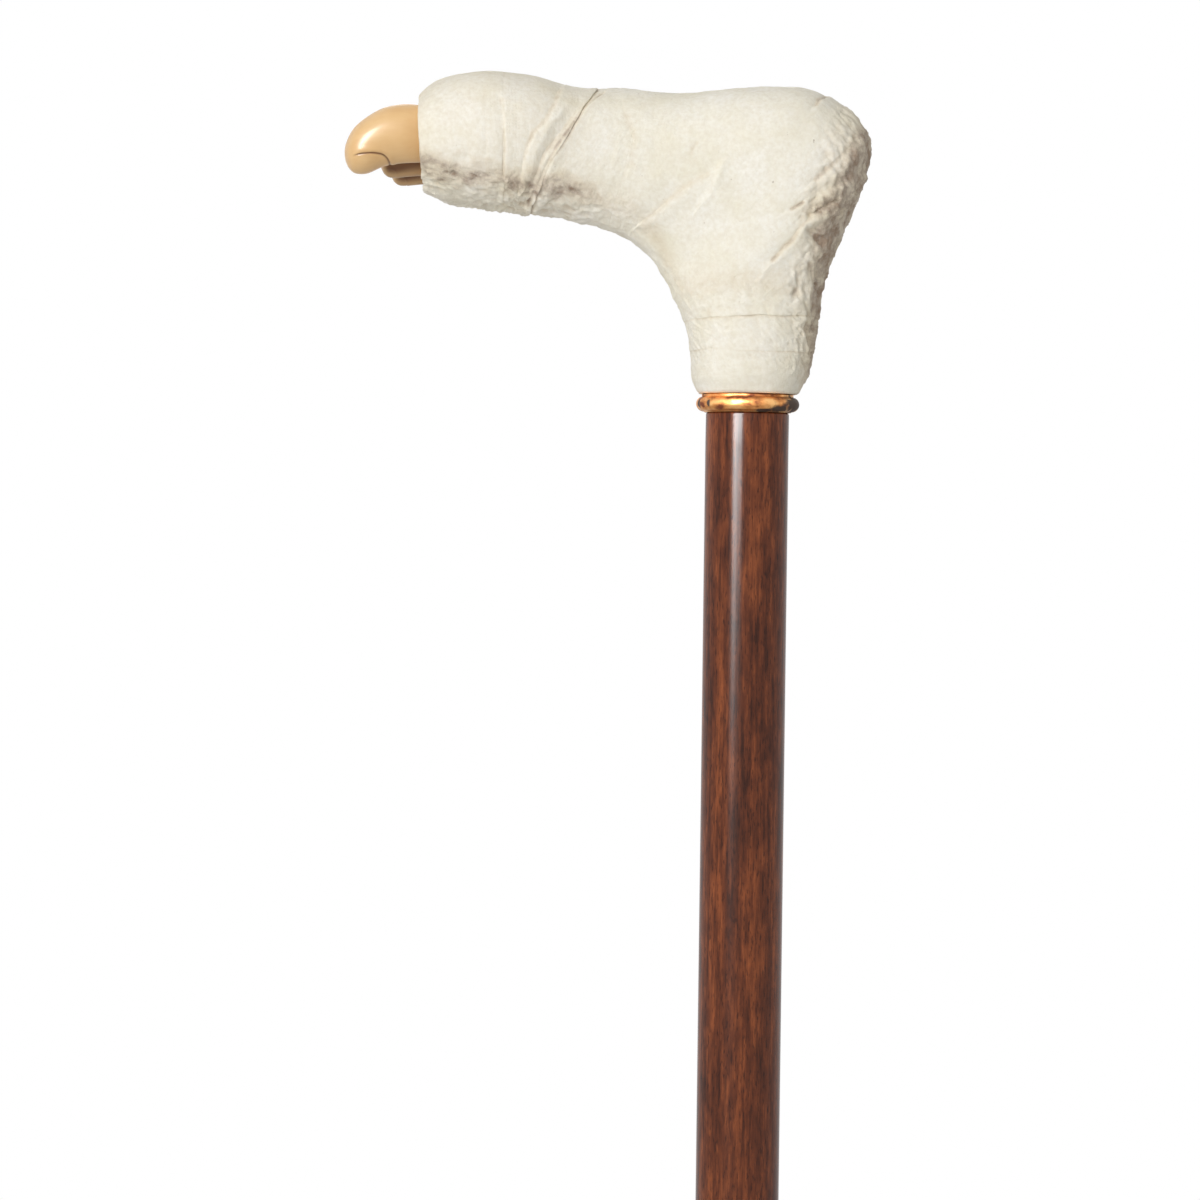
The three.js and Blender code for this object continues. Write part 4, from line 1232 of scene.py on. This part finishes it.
class STICK_OT_stage(Operator):
    """Set the floor, the white surroundings, the lamps and the camera"""

    bl_idname = "stick.stage"
    bl_label = "Stage"

    def execute(self, context):
        studio = context.scene.stick_studio
        self.floor(studio)
        self.surroundings(context, studio)
        for name, place_and_size in LAMPS.items():
            lamp = self.lamp(context, name + "_lamp", *place_and_size, getattr(studio, name + "_power"))
            lamp.visible_diffuse = name != "strip"
        self.camera(context, studio)
        context.scene.view_settings.view_transform = "Standard"
        return {"FINISHED"}

    def floor(self, studio):
        """A pale disc with a rounded edge, under the tip, that glows a little to the camera alone."""
        profile = np.array([[0.01, -0.1], [1990, -0.1], [2000, -5.1], [1990, -10.1], [0.01, -10.1]])
        white = (1, 1, 1, 1)
        material, tree, shader, at = new_material("pale_floor", Roughness=0.9, Emission_Color=white)
        base = ramp(tree, noise_of(tree, at, 3, 3), (0.3, studio.floor_shade), (0.7, studio.floor_pale))
        seen = put(tree, "LightPath").outputs["Is Camera Ray"]
        drive(tree, shader, Base_Color=base, Emission_Strength=maths(tree, "MULTIPLY", seen, 0.4))
        surface("floor_disc", turned(profile, 128), material)

    def surroundings(self, context, studio):
        """White to the camera, in gloss and through glass, and a plain even light to everything else."""
        world = bpy.data.worlds.new("white_surroundings")
        context.scene.world = world
        world.use_nodes = True
        tree = world.node_tree
        rays = put(tree, "LightPath")
        seen = maths(tree, "MAXIMUM", rays.outputs["Is Camera Ray"], rays.outputs["Is Glossy Ray"])
        seen = maths(tree, "MAXIMUM", seen, rays.outputs["Is Transmission Ray"])
        strength = span(tree, seen, 0, 1, studio.ambient, 1.0)
        tree.links.new(tree.nodes["Background"].inputs["Strength"], strength)
        tree.nodes["Background"].inputs["Color"].default_value = (1, 1, 1, 1)

    def lamp(self, context, name, spot, target, size, power):
        """A soft rectangular lamp that faces a point."""
        lamp = bpy.data.lights.new(name, "AREA")
        lamp.shape, lamp.size, lamp.size_y, lamp.energy = "RECTANGLE", *size, power
        holder = bpy.data.objects.new(name, lamp)
        holder.location = spot
        holder.rotation_euler = (Vector(target) - Vector(spot)).to_track_quat("-Z", "Y").to_euler()
        context.scene.collection.objects.link(holder)
        return holder

    def camera(self, context, studio):
        """Level with the picture's middle, in front of the big toe's side, and rolled so that the stick
        leans."""
        lens = bpy.data.cameras.new("camera")
        lens.sensor_width = 36.0
        lens.lens = lens.sensor_width * studio.distance / studio.frame_height
        holder = bpy.data.objects.new("camera", lens)
        c, s = math.cos(studio.lean), math.sin(studio.lean)
        middle = Vector((PICTURE_X, -1000 * studio.distance, SHOULDER + PICTURE_Z)) / 1000
        turn = Matrix(((c, -s, 0), (0, 0, -1), (s, c, 0))).to_4x4()
        holder.matrix_world = Matrix.Translation(middle) @ turn
        context.scene.collection.objects.link(holder)
        context.scene.camera = holder


STEPS = (STICK_OT_shaft, STICK_OT_collar, STICK_OT_tip, STICK_OT_foot, STICK_OT_bandage, STICK_OT_stage)
GROUPS = {"stick_shape": StickShape, "stick_finish": StickFinish, "stick_studio": StickStudio}


class STICK_PT_panel(Panel):
    """Lists the steps that make the stick, with their sizes and colours"""

    bl_idname = "STICK_PT_panel"
    bl_label = "Walking Stick"
    bl_space_type = "VIEW_3D"
    bl_region_type = "UI"
    bl_category = "Stick"

    def draw(self, context):
        for group in GROUPS:
            box = self.layout.box()
            for name in GROUPS[group].__annotations__:
                box.prop(getattr(context.scene, group), name)
        for step in STEPS:
            self.layout.operator(step.bl_idname)


def register():
    for made in (*GROUPS.values(), *STEPS, STICK_PT_panel):
        bpy.utils.register_class(made)
    for name, group in GROUPS.items():
        setattr(bpy.types.Scene, name, PointerProperty(type=group))


def unregister():
    for name in GROUPS:
        delattr(bpy.types.Scene, name)
    for made in (STICK_PT_panel, *reversed(STEPS), *GROUPS.values()):
        bpy.utils.unregister_class(made)


def main():
    """Runs every step in order."""
    register()
    for step in STEPS:
        group, name = step.bl_idname.split(".")
        getattr(getattr(bpy.ops, group), name)()


if __name__ == "__main__":
    main()
